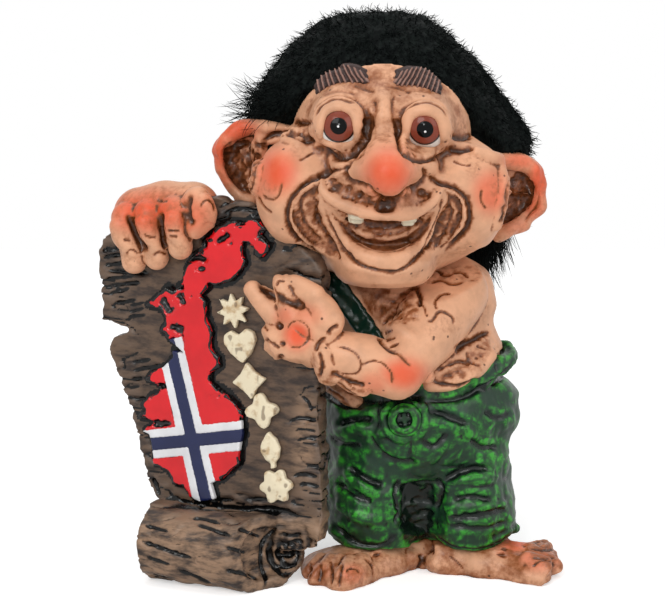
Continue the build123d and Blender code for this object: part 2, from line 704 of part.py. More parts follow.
# Fur wig: a thick cap on the skull behind the hairline, with a lock down behind the left shoulder
fur_share = fur_thickness / head_width
wig_shares = Form(
    lumps=[
        Lump((-0.015, 0.16, 0.63), (0.385 + fur_share, 0.36 + fur_share, 0.40 + fur_share)),
        Lump((0.35, 0.18, 0.42), (0.17 + fur_share, 0.18 + fur_share, 0.20 + fur_share)),
        Lump((0.01, 0.30, 0.385), (0.40 + fur_share, 0.21 + fur_share, 0.36 + fur_share)),
        Lump((-0.30, 0.15, 0.60), (0.14 + fur_share, 0.17 + fur_share, 0.17 + fur_share)),
    ],
    hollows=[], blend=0.12, levels=15, low=0.12, high=1.10, low_middle=(0.05, 0.30),
    high_middle=(-0.015, 0.16))

lock_root = head_base + Vector(head_width * 0.40, head_depth * 0.41, head_height * 0.30)
lock_tip = lock_root - Vector(head_width * 0.03, 0, lock_length)

with BuildPart() as wig:
    add_clay(wig_shares, Plane(head_base), head_size, 36)
    split(bisect_by=neck_seat, keep=Keep.TOP)
    add_swell(lock_root, lock_tip, (lock_radius, lock_radius, lock_radius * 0.6))
    split(bisect_by=hairline, keep=Keep.TOP)
    add(skull.part, mode=Mode.SUBTRACT)
    add([pieces["left_ear"], pieces["right_ear"]], mode=Mode.SUBTRACT)
finish(largest(wig.part), "fur_wig")

# Button: a round tab let into the trousers' front, with a dished button on it
front_share = math.sqrt(1 - (tab_out / (trousers_width / 2)) ** 2)
tab_back = Plane((-tab_out, -trousers_depth * 0.46 * front_share, waist_height - tab_drop),
                 x_dir=(1, 0, 0), z_dir=(0, -1, 0))
with BuildPart() as button_tab:
    with BuildSketch(tab_back):
        Circle(tab_radius)
    extrude(amount=tab_thickness)
    split(bisect_by=waist, keep=Keep.BOTTOM)
finish(button_tab.part, "button_tab")

with BuildPart() as button:
    with BuildSketch(tab_back.offset(tab_thickness)):
        Circle(button_radius)
    extrude(amount=button_thickness)
    fillet(button.edges().sort_by(Axis.Y)[0], button_thickness * 0.4)
    with BuildSketch(tab_back.offset(tab_thickness + button_thickness)):
        Circle(button_radius * 0.55)
    extrude(amount=-button_dish, mode=Mode.SUBTRACT)
finish(button.part, "front_button")

# Brace: one band from the waist up the chest and over the right shoulder, seated on the torso
brace_start_share = (-0.09, 0.02)
brace_end_share = (-0.52, 0.63)
brace_sections = 6
with BuildPart() as brace:
    sections = []
    rise = Vector((brace_end_share[0] - brace_start_share[0]) * torso_width, 0,
                  (brace_end_share[1] - brace_start_share[1]) * torso_height)
    for step in range(brace_sections):
        climb = step / (brace_sections - 1)
        across, up = [start + (end - start) * climb
                      for start, end in zip(brace_start_share, brace_end_share)]
        front = clay_front(torso_shares, across, up) * torso_depth
        inset = (brace_seat - brace_thickness) / 2
        middle = torso_base + Vector(across * torso_width, front + inset, up * torso_height)
        with BuildSketch(Plane(middle, x_dir=(rise.Z, 0, -rise.X), z_dir=rise)) as band:
            Rectangle(brace_width, brace_thickness + brace_seat)
        sections.append(band.sketch.face())
    loft(sections)
    add([torso.part, arm_room.part, right_upper_arm.part], mode=Mode.SUBTRACT)
    split(bisect_by=waist_top, keep=Keep.TOP)
    split(bisect_by=neck_seat, keep=Keep.BOTTOM)
finish(largest(brace.part), "brace_strap")

with BuildPart() as seated_trousers:
    add(trousers.part)
    add(button_tab.part, mode=Mode.SUBTRACT)
finish(seated_trousers.part, "trousers_casting")

finish(waistband.part, "waistband")
finish(torso_seats.part, "torso_casting")
finish(left_upper_arm.part, "left_upper_arm")
finish(left_forearm.part, "left_forearm")
finish(left_hand.part, "left_hand")
finish(right_upper_arm.part, "right_upper_arm")
finish(right_forearm.part, "right_forearm")
finish(right_hand.part, "right_hand")
finish(largest(bark_slab.part), "bark_slab")
finish(bark_roll.part, "bark_roll")
finish(map_field_red.part, "map_field_red")
finish(map_cross_white.part, "map_cross_white")
finish(map_cross_blue.part, "map_cross_blue")

# The finished figure stands with the middle of its own box over the origin
whole = Compound(list(pieces.values())).bounding_box()
home = Vector(-whole.center().X, -whole.center().Y, -whole.min.Z)
for node, piece in pieces.items():
    placed = piece.moved(Location(home))
    placed.label = node
    export_step(placed, "parts/" + node + ".step")
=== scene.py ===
"""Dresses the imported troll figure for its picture: painted castings, bark, enamel map and fur."""
import itertools
import math

import bmesh
import bpy
import numpy as np
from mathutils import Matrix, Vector
from mathutils.bvhtree import BVHTree


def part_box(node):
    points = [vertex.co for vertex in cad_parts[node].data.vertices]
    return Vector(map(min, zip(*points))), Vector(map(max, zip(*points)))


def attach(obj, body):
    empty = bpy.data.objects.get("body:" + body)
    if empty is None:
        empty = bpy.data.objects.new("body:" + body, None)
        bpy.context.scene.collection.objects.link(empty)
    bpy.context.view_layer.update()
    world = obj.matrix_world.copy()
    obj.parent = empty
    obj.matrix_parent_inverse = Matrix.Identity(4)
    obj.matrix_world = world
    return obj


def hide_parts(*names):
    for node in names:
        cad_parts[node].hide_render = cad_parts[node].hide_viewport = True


bl_info = {
    "name": "Troll figure looks",
    "version": (1, 0, 0),
    "blender": (4, 5, 0),
    "location": "View3D > Sidebar > Troll",
    "description": "Sculpts, paints and lights the cast troll figure",
    "category": "Object",
}

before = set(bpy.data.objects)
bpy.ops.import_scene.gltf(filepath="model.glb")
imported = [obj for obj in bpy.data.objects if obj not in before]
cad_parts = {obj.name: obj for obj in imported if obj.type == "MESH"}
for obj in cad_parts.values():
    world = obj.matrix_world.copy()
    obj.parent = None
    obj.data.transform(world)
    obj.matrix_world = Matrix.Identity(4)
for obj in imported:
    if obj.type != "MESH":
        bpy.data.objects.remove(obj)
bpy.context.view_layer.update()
MM = 0.001

# The photograph's camera: pixels of its 665 by 603 frame
FRAME_SIZE = (665, 603)
FRAME_MIDDLE = np.array((332.5, 301.5))
FOCAL_PIXELS = 2583.3
CAMERA_PITCH = math.radians(12)
CAMERA_DISTANCE = 620.0
LOOK_AT = np.array((-0.69, 1.0, 64.0))
FORWARD = np.array((0, math.cos(CAMERA_PITCH), -math.sin(CAMERA_PITCH)))
UPWARD = np.array((0, math.sin(CAMERA_PITCH), math.cos(CAMERA_PITCH)))
CAMERA_PLACE = LOOK_AT - FORWARD * CAMERA_DISTANCE
# Distances from the camera between which the figure stands, in steps of 2 mm
REACHES = range(540, 720, 2)
# Grains of the small pieces' meshes
BROW_VOXEL = 0.19 * MM
TOOTH_VOXEL = 0.25 * MM
BUTTON_VOXEL = 0.3 * MM
BRACE_VOXEL = 0.3 * MM
FELT_VOXEL = 0.75 * MM
# How much coarser the head's mesh is than the skin's grain, and how much finer the feet's and the signs' are
HEAD_COARSER, FEET_FINER, SIGNS_FINER = 1.04, 0.9, 0.9
# Cells along each side of a table of random values
NOISE_CELLS = 32


class TrollSizes(bpy.types.PropertyGroup):
    skin_voxel: bpy.props.FloatProperty(
        name="Skin detail", description="Grain of the skin's mesh",
        unit="LENGTH", precision=5, default=0.42 * MM)
    cloth_voxel: bpy.props.FloatProperty(
        name="Trousers detail", description="Grain of the trousers' mesh",
        unit="LENGTH", precision=5, default=0.5 * MM)
    bark_voxel: bpy.props.FloatProperty(
        name="Bark detail", description="Grain of the bark's mesh",
        unit="LENGTH", precision=5, default=0.45 * MM)
    relief_voxel: bpy.props.FloatProperty(
        name="Relief detail", description="Grain of the raised map's and signs' meshes",
        unit="LENGTH", precision=5, default=0.24 * MM)
    strand_count: bpy.props.IntProperty(
        name="Strands", description="Fur strands in each of the wig's tufts", default=6400)
    strand_length: bpy.props.FloatProperty(
        name="Strand length", description="Longest fur strand", unit="LENGTH", precision=4, default=8.0 * MM)
    strand_radius: bpy.props.FloatProperty(
        name="Strand radius", description="Radius of a strand at its root",
        unit="LENGTH", precision=5, default=0.11 * MM)


class TrollColours(bpy.types.PropertyGroup):
    skin: bpy.props.FloatVectorProperty(
        name="Skin", description="Bare painted skin", subtype="COLOR", default=(0.76, 0.4, 0.235))
    # Brown of the wash, which also paints the shade under the trouser hems on the feet
    skin_wash_and_shade: bpy.props.FloatVectorProperty(
        name="Skin wash", description="Brown wash in the creases",
        subtype="COLOR", default=(0.17, 0.05, 0.014))
    blush: bpy.props.FloatVectorProperty(
        name="Blush", description="Orange-red blush", subtype="COLOR", default=(0.74, 0.1, 0.035))
    cloth: bpy.props.FloatVectorProperty(
        name="Trousers", description="Dark green of the trousers",
        subtype="COLOR", default=(0.007, 0.03, 0.013))
    cloth_bright: bpy.props.FloatVectorProperty(
        name="Trousers dry brush", description="Bright green rubbed on the folds", subtype="COLOR",
        default=(0.045, 0.4, 0.03))
    bark: bpy.props.FloatVectorProperty(
        name="Bark", description="Grey-brown of the bark", subtype="COLOR", default=(0.038, 0.027, 0.023))
    enamel: bpy.props.FloatVectorProperty(
        name="Map red", description="Red enamel of the map", subtype="COLOR", default=(0.74, 0.01, 0.016))
    bone: bpy.props.FloatVectorProperty(
        name="Bone", description="Ivory of the raised signs", subtype="COLOR", default=(0.8, 0.7, 0.5))


# Places in the photograph and on the castings
def photo_place(points):
    """Pixels of points given in millimetres."""
    offset = points - CAMERA_PLACE
    depth = offset @ FORWARD
    across = FOCAL_PIXELS * offset[:, 0] / depth
    up = FOCAL_PIXELS * (offset @ UPWARD) / depth
    return np.column_stack((FRAME_MIDDLE[0] + across, FRAME_MIDDLE[1] - up))


def sight_line(pixel):
    """Direction from the camera through a pixel."""
    across, down = (np.array(pixel) - FRAME_MIDDLE) / FOCAL_PIXELS
    line = FORWARD + np.array((1, 0, 0)) * across - UPWARD * down
    return line / np.linalg.norm(line)


def node_tree(*nodes):
    """A tree of the CAD nodes' faces, in millimetres, for finding places on them."""
    corners, faces = [], []
    for node in nodes:
        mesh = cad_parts[node].data
        start = len(corners)
        corners += [v.co / MM for v in mesh.vertices]
        faces += [[start + i for i in p.vertices] for p in mesh.polygons]
    return BVHTree.FromPolygons(corners, faces)


def on_tree(tree, pixel, lift=0.0):
    """The place on a casting behind a pixel, or beside its sight line, lifted towards the camera."""
    line = sight_line(pixel)
    hit = tree.ray_cast(Vector(CAMERA_PLACE), Vector(line))[0]
    if hit is None:
        steps = [CAMERA_PLACE + line * reach for reach in REACHES]
        hit = min((tree.find_nearest(Vector(step)) for step in steps), key=lambda found: found[3])[0]
    return np.array(hit) - line * lift


def smooth_path(points, step):
    """Points along a soft curve through the given ones, about one step apart."""
    points = np.array(points, float)
    padded = np.vstack((2 * points[0] - points[1], points, 2 * points[-1] - points[-2]))
    line = []
    for before, start, end, after in zip(padded, padded[1:], padded[2:], padded[3:]):
        count = max(2, int(np.linalg.norm(end - start) / step) + 1)
        for t in np.linspace(0, 1, count, endpoint=False):
            line.append(0.5 * (2 * start + (end - before) * t
                               + (2 * before - 5 * start + 4 * end - after) * t**2
                               + (3 * start - before - 3 * end + after) * t**3))
    line.append(points[-1])
    return np.array(line)


def soft_noise(points, size, seed):
    """Smooth random values from -1 to 1, in blobs of one size."""
    table = np.random.default_rng(seed).uniform(-1, 1, (NOISE_CELLS,) * 3)
    cell = points / size
    low = np.floor(cell).astype(int)
    part = cell - low
    part = part * part * (3 - 2 * part)
    total = np.zeros(len(points))
    for corner in itertools.product((0, 1), repeat=3):
        weight = np.prod(np.where(corner, part, 1 - part), axis=1)
        x, y, z = ((low + corner) % NOISE_CELLS).T
        total += weight * table[x, y, z]
    return total


def smooth_rise(value, low, high):
    """0 below low, 1 above high, soft between."""
    share = np.clip((value - low) / (high - low), 0, 1)
    return share * share * (3 - 2 * share)


def path_distance(places, path):
    """Distance of each place to a line of points, and the share of the line where it is nearest."""
    path = np.array(path, float)
    nearest = np.full(len(places), 1e9)
    share = np.zeros(len(places))
    for i, (start, end) in enumerate(zip(path, path[1:])):
        run = end - start
        t = np.clip((places - start) @ run / max(run @ run, 1e-9), 0, 1)
        away = np.linalg.norm(places - start - t[:, None] * run, axis=1)
        closer = away < nearest
        nearest[closer] = away[closer]
        share[closer] = (i + t[closer]) / (len(path) - 1)
    return nearest, share


def inside_outline(places, outline):
    """Whether each place lies inside a closed outline."""
    x, y = places.T
    inside = np.zeros(len(places), bool)
    for (x0, y0), (x1, y1) in zip(outline, outline[1:] + outline[:1]):
        if y0 != y1:
            crosses = ((y0 > y) != (y1 > y)) & (x < (x1 - x0) * (y - y0) / (y1 - y0) + x0)
            inside ^= crosses
    return inside


# Making and joining meshes
def deselect():
    for obj in bpy.context.selected_objects:
        obj.select_set(False)


def choose(obj):
    deselect()
    obj.select_set(True)
    bpy.context.view_layer.objects.active = obj


def new_object(name, mesh):
    obj = bpy.data.objects.new(name, mesh)
    bpy.context.scene.collection.objects.link(obj)
    return obj


def copied(name, *nodes):
    """One object with copies of CAD nodes, their loose triangles merged."""
    gathered = bmesh.new()
    for node in nodes:
        gathered.from_mesh(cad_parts[node].data)
    bmesh.ops.remove_doubles(gathered, verts=gathered.verts, dist=2e-6)
    mesh = bpy.data.meshes.new(name)
    gathered.to_mesh(mesh)
    gathered.free()
    return new_object(name, mesh)


def ball_template():
    deselect()
    bpy.ops.mesh.primitive_ico_sphere_add(subdivisions=3, radius=1.0)
    ball = bpy.context.active_object
    corners = np.array([v.co for v in ball.data.vertices])
    faces = np.array([p.vertices for p in ball.data.polygons])
    bpy.data.objects.remove(ball)
    return corners, faces


BALL = ball_template()


def beads(path, radii):
    """A rope of clay balls, in millimetres: the radii are spread evenly along the path."""
    sizes = np.interp(np.linspace(0, 1, len(path)), np.linspace(0, 1, len(radii)), radii)
    corners = np.concatenate([BALL[0] * size + place for place, size in zip(path, sizes)])
    faces = np.concatenate([BALL[1] + i * len(BALL[0]) for i in range(len(path))])
    mesh = bpy.data.meshes.new("beads")
    mesh.from_pydata((corners * MM).tolist(), [], faces.tolist())
    return new_object("beads", mesh)


def pressed(name, objects, voxel, soft):
    """Joins clay objects and remeshes them as one skin, with a grain in metres."""
    deselect()
    for obj in objects:
        obj.select_set(True)
    whole = objects[0]
    bpy.context.view_layer.objects.active = whole
    if len(objects) > 1:
        bpy.ops.object.join()
    whole.name = name
    grain = whole.modifiers.new("grain", "REMESH")
    grain.mode = "VOXEL"
    grain.voxel_size = voxel
    bpy.ops.object.modifier_apply(modifier=grain.name)
    soften = whole.modifiers.new("soften", "SMOOTH")
    soften.factor = 0.5
    soften.iterations = soft
    bpy.ops.object.modifier_apply(modifier=soften.name)
    return Clay(whole)


class Clay:
    """A piece's mesh as arrays in millimetres, to press, pull and paint it."""

    def __init__(self, obj):
        self.obj = obj
        mesh = obj.data
        count = len(mesh.vertices)
        flat = np.empty(count * 3)
        mesh.vertices.foreach_get("co", flat)
        self.places = flat.reshape(-1, 3) / MM
        ends = np.empty(len(mesh.edges) * 2, int)
        mesh.edges.foreach_get("vertices", ends)
        self.ends = ends.reshape(-1, 2)
        self.degree = np.maximum(np.bincount(ends, minlength=count), 1)
        self.painted = {}
        self.rough = soft_noise(self.places, 1.1, 17)
        self.look()

    def write(self):
        self.obj.data.vertices.foreach_set("co", (self.places * MM).ravel())
        self.obj.data.update()

    def look(self):
        """Reads the normals and the pixels again after a change of shape."""
        self.write()
        flat = np.empty(len(self.places) * 3)
        self.obj.data.vertex_normals.foreach_get("vector", flat)
        self.normals = flat.reshape(-1, 3)
        self.pixels = photo_place(self.places)
        away = CAMERA_PLACE - self.places
        away /= np.linalg.norm(away, axis=1)[:, None]
        self.facing = np.clip((np.sum(self.normals * away, axis=1) + 0.15) / 0.4, 0, 1)

    def mean(self, values):
        """Average of each vertex's neighbours."""
        one, other = self.ends.T
        total = np.array([np.bincount(one, column[other], len(column))
                          + np.bincount(other, column[one], len(column)) for column in values.T]).T
        return total / self.degree[:, None]

    def soften(self, rounds, share):
        """Draws each vertex towards its neighbours' average, round after round."""
        for _ in range(rounds):
            self.places += (self.mean(self.places) - self.places) * share
        self.look()

    def lift(self, amount):
        """Moves the surface out along its normals, by millimetres at each vertex."""
        self.places += self.normals * amount[:, None]

    def roughen(self, *layers, base=0.0):
        """Lifts the surface by a base height and layers of noise, each with its size, seed and height."""
        self.lift(base + sum(soft_noise(self.places, size, seed) * height for size, seed, height in layers))

    def groove(self, pixels, width, depth, paint=0.0, taper=0.14, ragged=0.35, step=3):
        """Presses a crease along a line of pixels; width in pixels, depth in millimetres."""
        away, share = path_distance(self.pixels, smooth_path(pixels, step))
        away *= 1 + ragged * self.rough
        ends = np.clip(np.minimum(share, 1 - share) / taper, 0, 1) if taper else 1.0
        weight = np.exp(-(away / width) ** 2) * self.facing * ends
        self.lift(-depth * weight)
        if paint:
            self.paint("wash_and_shade", np.exp(-(away / (width * 1.3)) ** 2) * self.facing * ends * paint)

    def dot(self, pixel, radius, depth, paint=0.0):
        """Presses a pit (or pulls a bump, with a negative depth) round one pixel."""
        away = np.linalg.norm((self.pixels - pixel) / np.array(radius), axis=1)
        weight = np.exp(-away**4) * self.facing
        self.lift(-depth * weight)
        if paint:
            self.paint("wash_and_shade", weight * paint)

    def warp(self, pulls, radius):
        """Drags the piece in the picture's plane, from pixel to pixel."""
        total, weights = np.zeros((len(self.places), 2)), np.zeros(len(self.places))
        for start, end in pulls:
            weight = np.exp(-np.sum((self.pixels - start) ** 2, axis=1) / radius**2)
            total += weight[:, None] * (np.array(end) - start)
            weights += weight
        total /= np.maximum(weights, 1.0)[:, None]
        depth = (self.places - CAMERA_PLACE) @ FORWARD
        move = total * depth[:, None] / FOCAL_PIXELS
        self.places += move[:, :1] * (1, 0, 0) - move[:, 1:] * UPWARD
        self.look()

    def inside(self, outline, low, high):
        """0 outside an outline of pixels, 1 inside, rising from low to high pixels off its edge.

        It is 0 as well where the surface faces away from the camera.
        """
        edge, _ = path_distance(self.pixels, outline + outline[:1])
        share = np.where(inside_outline(self.pixels, outline), smooth_rise(edge, low, high), 0.0)
        return share * self.facing

    def paint_inside(self, outline, share, soft, patches, seed, even=0.75, mottle=0.5):
        """Patchy wash and painted shade inside an outline of pixels."""
        patchy = even + mottle * soft_noise(self.places, patches, seed)
        self.paint("wash_and_shade", self.inside(outline, -1, soft) * share * patchy)

    def paint(self, name, amount):
        """Adds a layer of paint; where there is more of it already, that stays."""
        before = self.painted.get(name, np.zeros(len(self.places)))
        self.painted[name] = np.maximum(before, amount)

    def blush(self, spots):
        """Orange-red spots, each with its pixel, its two radii and its strength."""
        for pixel, radius, strength in spots:
            away = np.linalg.norm((self.pixels - pixel) / np.array(radius), axis=1)
            self.paint("blush", strength * np.exp(-away**3) * self.facing)

    def paint_hollows(self, rounds, low, high, strength):
        """Wash in hollows of low to high millimetres; gives each vertex's depth back."""
        depth = self.hollow(rounds)
        self.paint("wash_and_shade", smooth_rise(depth, low, high) * strength)
        return depth

    def hollow(self, rounds):
        """How far each vertex lies under the softened surface, in millimetres."""
        soft = self.places.copy()
        for _ in range(rounds):
            soft = self.mean(soft)
        return np.sum((soft - self.places) * self.normals, axis=1)

    def store(self):
        for name, values in self.painted.items():
            layer = self.obj.data.attributes.new(name, "FLOAT", "POINT")
            layer.data.foreach_set("value", np.clip(values, 0, 1).astype(np.float32))

    def done(self, slot, material, *nodes):
        """Writes shape and paint, and gives the piece its body and material."""
        self.look()
        self.store()
        dress(self.obj, slot, material, *nodes)


def dress(obj, slot, material, *nodes):
    obj.data.materials.clear()
    obj.data.materials.append(material)
    choose(obj)
    bpy.ops.object.shade_smooth()
    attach(obj, "root")
    if nodes:
        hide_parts(*nodes)


# Materials
class Paint:
    """A material's nodes, made and linked in short calls that give back an output."""

    def __init__(self, name, **values):
        self.material = bpy.data.materials.new(name)
        self.material.use_nodes = True
        self.nodes = self.material.node_tree.nodes
        self.links = self.material.node_tree.links
        self.shader = self.nodes["Principled BSDF"]
        for socket, value in values.items():
            self.shader.inputs[socket.replace("_", " ")].default_value = value
        self.places = self.nodes.new("ShaderNodeTexCoord").outputs["Object"]

    def plug(self, value, socket):
        """Gives a socket a link, a colour or a number."""
        if isinstance(value, bpy.types.NodeSocket):
            self.links.new(value, socket)
        elif isinstance(value, (tuple, list)) and len(value) == 3:
            socket.default_value = (*value, 1)
        else:
            socket.default_value = value

    def attribute(self, name):
        node = self.nodes.new("ShaderNodeAttribute")
        node.attribute_name = name
        return node.outputs["Fac"]

    def stretched(self, scale):
        node = self.nodes.new("ShaderNodeMapping")
        node.inputs["Scale"].default_value = scale
        self.links.new(self.places, node.inputs["Vector"])
        return node.outputs["Vector"]

    def noise(self, scale, detail, rough=0.55, distortion=0.0, at=None):
        node = self.nodes.new("ShaderNodeTexNoise")
        self.links.new(at or self.places, node.inputs["Vector"])
        node.inputs["Scale"].default_value = scale
        node.inputs["Detail"].default_value = detail
        node.inputs["Roughness"].default_value = rough
        node.inputs["Distortion"].default_value = distortion
        return node.outputs["Fac"]

    def cells(self, scale, feature="F1"):
        node = self.nodes.new("ShaderNodeTexVoronoi")
        node.feature = feature
        self.links.new(self.places, node.inputs["Vector"])
        node.inputs["Scale"].default_value = scale
        return node.outputs["Distance"]

    def range(self, value, low, high, start=0.0, end=1.0):
        node = self.nodes.new("ShaderNodeMapRange")
        node.interpolation_type = "SMOOTHSTEP"
        self.plug(value, node.inputs["Value"])
        for socket, number in (("From Min", low), ("From Max", high), ("To Min", start), ("To Max", end)):
            node.inputs[socket].default_value = number
        return node.outputs["Result"]

    def maths(self, operation, one, other):
        node = self.nodes.new("ShaderNodeMath")
        node.operation = operation
        self.plug(one, node.inputs[0])
        self.plug(other, node.inputs[1])
        return node.outputs["Value"]

    def mix(self, share, one, other):
        node = self.nodes.new("ShaderNodeMix")
        node.data_type = "RGBA"
        self.plug(share, node.inputs["Factor"])
        self.plug(one, node.inputs["A"])
        self.plug(other, node.inputs["B"])
        return node.outputs["Result"]

    def finish(self, colour, roughness=None, height=None, depth=0.2, strength=1.0):
        self.plug(colour, self.shader.inputs["Base Color"])
        if roughness is not None:
            self.plug(roughness, self.shader.inputs["Roughness"])
        if height is not None:
            bump = self.nodes.new("ShaderNodeBump")
            bump.inputs["Strength"].default_value = strength
            bump.inputs["Distance"].default_value = depth * MM
            self.links.new(height, bump.inputs["Height"])
            self.links.new(bump.outputs["Normal"], self.shader.inputs["Normal"])
        return self.material


def shade(colour, factor):
    return tuple(min(1.0, c * factor) for c in colour)


def skin_paint(colours):
    paint = Paint("painted skin", Specular_IOR_Level=0.32)
    wash_and_shade, blush = paint.attribute("wash_and_shade"), paint.attribute("blush")
    cloud = paint.noise(160, 4, 0.6)
    fine = paint.noise(900, 3, 0.6)
    skin = paint.mix(paint.range(cloud, 0.35, 0.7), tuple(colours.skin), shade(colours.skin, 0.8))
    flushed = paint.mix(paint.maths("MULTIPLY", blush, paint.range(cloud, 0.1, 0.6, 0.75, 1.0)), skin,
                        tuple(colours.blush))
    broken = paint.maths("ADD", wash_and_shade, paint.range(fine, 0.3, 0.7, -0.1, 0.1))
    stained = paint.mix(paint.range(broken, 0.08, 0.6, 0.0, 0.92), flushed, shade(colours.skin_wash_and_shade, 1.6))
    dark = paint.mix(paint.range(broken, 0.45, 1.0), stained, shade(colours.skin_wash_and_shade, 0.3))
    specks = paint.range(paint.cells(300), 0.07, 0.13, 1.0, 0.0)
    few = paint.maths("MULTIPLY", specks, paint.range(paint.noise(260, 2), 0.47, 0.53))
    coloured = paint.mix(paint.maths("MULTIPLY", few, 0.85), dark, shade(colours.skin_wash_and_shade, 0.35))
    height = paint.maths("ADD", fine, paint.maths("MULTIPLY", few, -1.0))
    return paint.finish(coloured, paint.range(wash_and_shade, 0.1, 0.9, 0.45, 0.2), height, 0.08, 0.6)


def cloth_paint(name, colours):
    paint = Paint(name, Specular_IOR_Level=0.34)
    wash_and_shade, ridge = paint.attribute("wash_and_shade"), paint.attribute("ridge")
    blotch = paint.noise(62, 5, 0.65, 1.8)
    flakes = paint.cells(210, "DISTANCE_TO_EDGE")
    patches = paint.range(blotch, 0.52, 0.66, 0.0, 0.75)
    rubbed = paint.maths("ADD", patches, paint.maths("MULTIPLY", ridge, 0.8))
    broken = paint.maths("MULTIPLY", rubbed, paint.range(paint.noise(520, 4, 0.75), 0.36, 0.6, 0.1, 1.0))
    bright = paint.maths("MULTIPLY", broken, paint.range(flakes, 0.02, 0.12, 0.25, 1.0))
    green = paint.mix(bright, tuple(colours.cloth), shade(colours.cloth_bright, 0.85))
    teal = paint.mix(paint.range(paint.noise(140, 3), 0.5, 0.75, 0.0, 0.35), green, (0.014, 0.045, 0.036))
    # Near black where the wash-and-shade layer lies: in the folds, and as painted shade between the legs
    coloured = paint.mix(paint.range(wash_and_shade, 0.1, 0.7, 0.0, 0.95), teal, (0.004, 0.008, 0.006))
    roughness = paint.range(wash_and_shade, 0.2, 0.9, 0.36, 0.22)
    return paint.finish(coloured, roughness, paint.noise(420, 4, 0.6), 0.12, 0.6)


def bark_paint(colours):
    paint = Paint("painted bark", Specular_IOR_Level=0.28)
    wash_and_shade, ridge, worn = paint.attribute("wash_and_shade"), paint.attribute("ridge"), paint.attribute("worn")
    cloud = paint.noise(90, 4, 0.6)
    grain = paint.noise(260, 4, 0.65, at=paint.stretched((0.35, 1, 1.6)))
    base = paint.mix(paint.range(cloud, 0.35, 0.7), tuple(colours.bark), shade(colours.bark, 0.7))
    streaks = paint.maths("MULTIPLY", worn, paint.range(grain, 0.32, 0.62))
    brown = paint.mix(streaks, base, (0.32, 0.2, 0.125))
    crests = paint.maths("MULTIPLY", ridge, paint.range(grain, 0.35, 0.6))
    rubbed = paint.mix(crests, brown, (0.17, 0.12, 0.09))
    coloured = paint.mix(paint.range(wash_and_shade, 0.2, 0.6), rubbed, (0.004, 0.004, 0.004))
    return paint.finish(coloured, paint.range(wash_and_shade, 0.2, 0.6, 0.42, 0.14), grain, 0.12, 0.5)


def enamel_paint(name, colour):
    paint = Paint(name, Specular_IOR_Level=0.3, Coat_Weight=0.25, Coat_Roughness=0.06)
    wash_and_shade = paint.attribute("wash_and_shade")
    tone = paint.mix(paint.range(paint.noise(120, 3), 0.3, 0.7), colour, shade(colour, 0.82))
    coloured = paint.mix(paint.range(wash_and_shade, 0.35, 0.6), tone, (0.005, 0.004, 0.004))
    return paint.finish(coloured, 0.2, paint.noise(260, 3, 0.6), 0.16, 0.6)


def bone_paint(colours):
    paint = Paint("ivory paint", Specular_IOR_Level=0.45)
    wash_and_shade = paint.attribute("wash_and_shade")
    tone = paint.mix(paint.range(paint.noise(420, 3), 0.5, 0.72, 0.0, 0.7), tuple(colours.bone),
                     (0.42, 0.24, 0.08))
    coloured = paint.mix(paint.range(wash_and_shade, 0.15, 0.75), tone, (0.1, 0.045, 0.015))
    return paint.finish(coloured, 0.4, paint.noise(700, 3), 0.06, 0.5)


def plain_paint(name, colour, roughness, grain, depth, **values):
    paint = Paint(name, **values)
    tone = paint.mix(paint.noise(grain * 0.5, 3), colour, shade(colour, 0.72))
    return paint.finish(tone, roughness, paint.noise(grain, 3), depth, 0.5)


def brow_paint():
    paint = Paint("brow brown", Specular_IOR_Level=0.25)
    ridge = paint.attribute("ridge")
    tone = paint.mix(paint.noise(500, 3), (0.02, 0.009, 0.007), (0.05, 0.022, 0.018))
    coloured = paint.mix(paint.range(ridge, 0.25, 0.9, 0.0, 0.9), tone, (0.33, 0.18, 0.14))
    return paint.finish(coloured, 0.35, paint.noise(900, 3), 0.05, 0.5)


def fur_paint():
    paint = Paint("black fur", Specular_IOR_Level=0.03)
    share = paint.range(paint.noise(900, 3), 0.35, 0.7)
    tone = paint.mix(share, (0.002, 0.0028, 0.0028), (0.009, 0.012, 0.011))
    return paint.finish(tone, 0.55, paint.noise(2500, 2), 0.03, 0.4)


LOOK_NAMES = {}


def looks():
    """All the figure's materials, made once."""
    if "painted skin" not in bpy.data.materials:
        colours = bpy.context.scene.troll_colours
        made = {
            "skin": skin_paint(colours),
            "cloth": cloth_paint("painted trousers", colours),
            "bark": bark_paint(colours),
            "red": enamel_paint("red enamel", tuple(colours.enamel)),
            "white": enamel_paint("white enamel", (0.82, 0.82, 0.84)),
            "blue": enamel_paint("navy enamel", (0.01, 0.016, 0.075)),
            "bone": bone_paint(colours),
            "brace": plain_paint("green lacquer", (0.005, 0.028, 0.017), 0.24, 300, 0.2,
                                 Specular_IOR_Level=0.3),
            "button": cloth_paint("painted button", colours),
            "brow": brow_paint(),
            "tooth": plain_paint("tooth ivory", (0.82, 0.74, 0.55), 0.25, 600, 0.03),
            "eye_white": plain_paint("eye white", (0.85, 0.82, 0.76), 0.15, 200, 0.005),
            "rim": plain_paint("iris rim brown", (0.035, 0.012, 0.008), 0.2, 200, 0.002),
            # Painted highlight: the white glint on each pupil
            "dot": plain_paint("painted glint white", (1.0, 1.0, 1.0), 0.2, 200, 0.002),
            "iris": plain_paint("iris brown", (0.26, 0.055, 0.03), 0.15, 900, 0.01,
                                Specular_IOR_Level=0.25),
            "pupil": plain_paint("pupil black", (0.002, 0.002, 0.002), 0.1, 200, 0.005,
                                 Specular_IOR_Level=0.15),
            "fur": fur_paint(),
        }
        LOOK_NAMES.update({key: material.name for key, material in made.items()})
    return {key: bpy.data.materials[name] for key, name in LOOK_NAMES.items()}


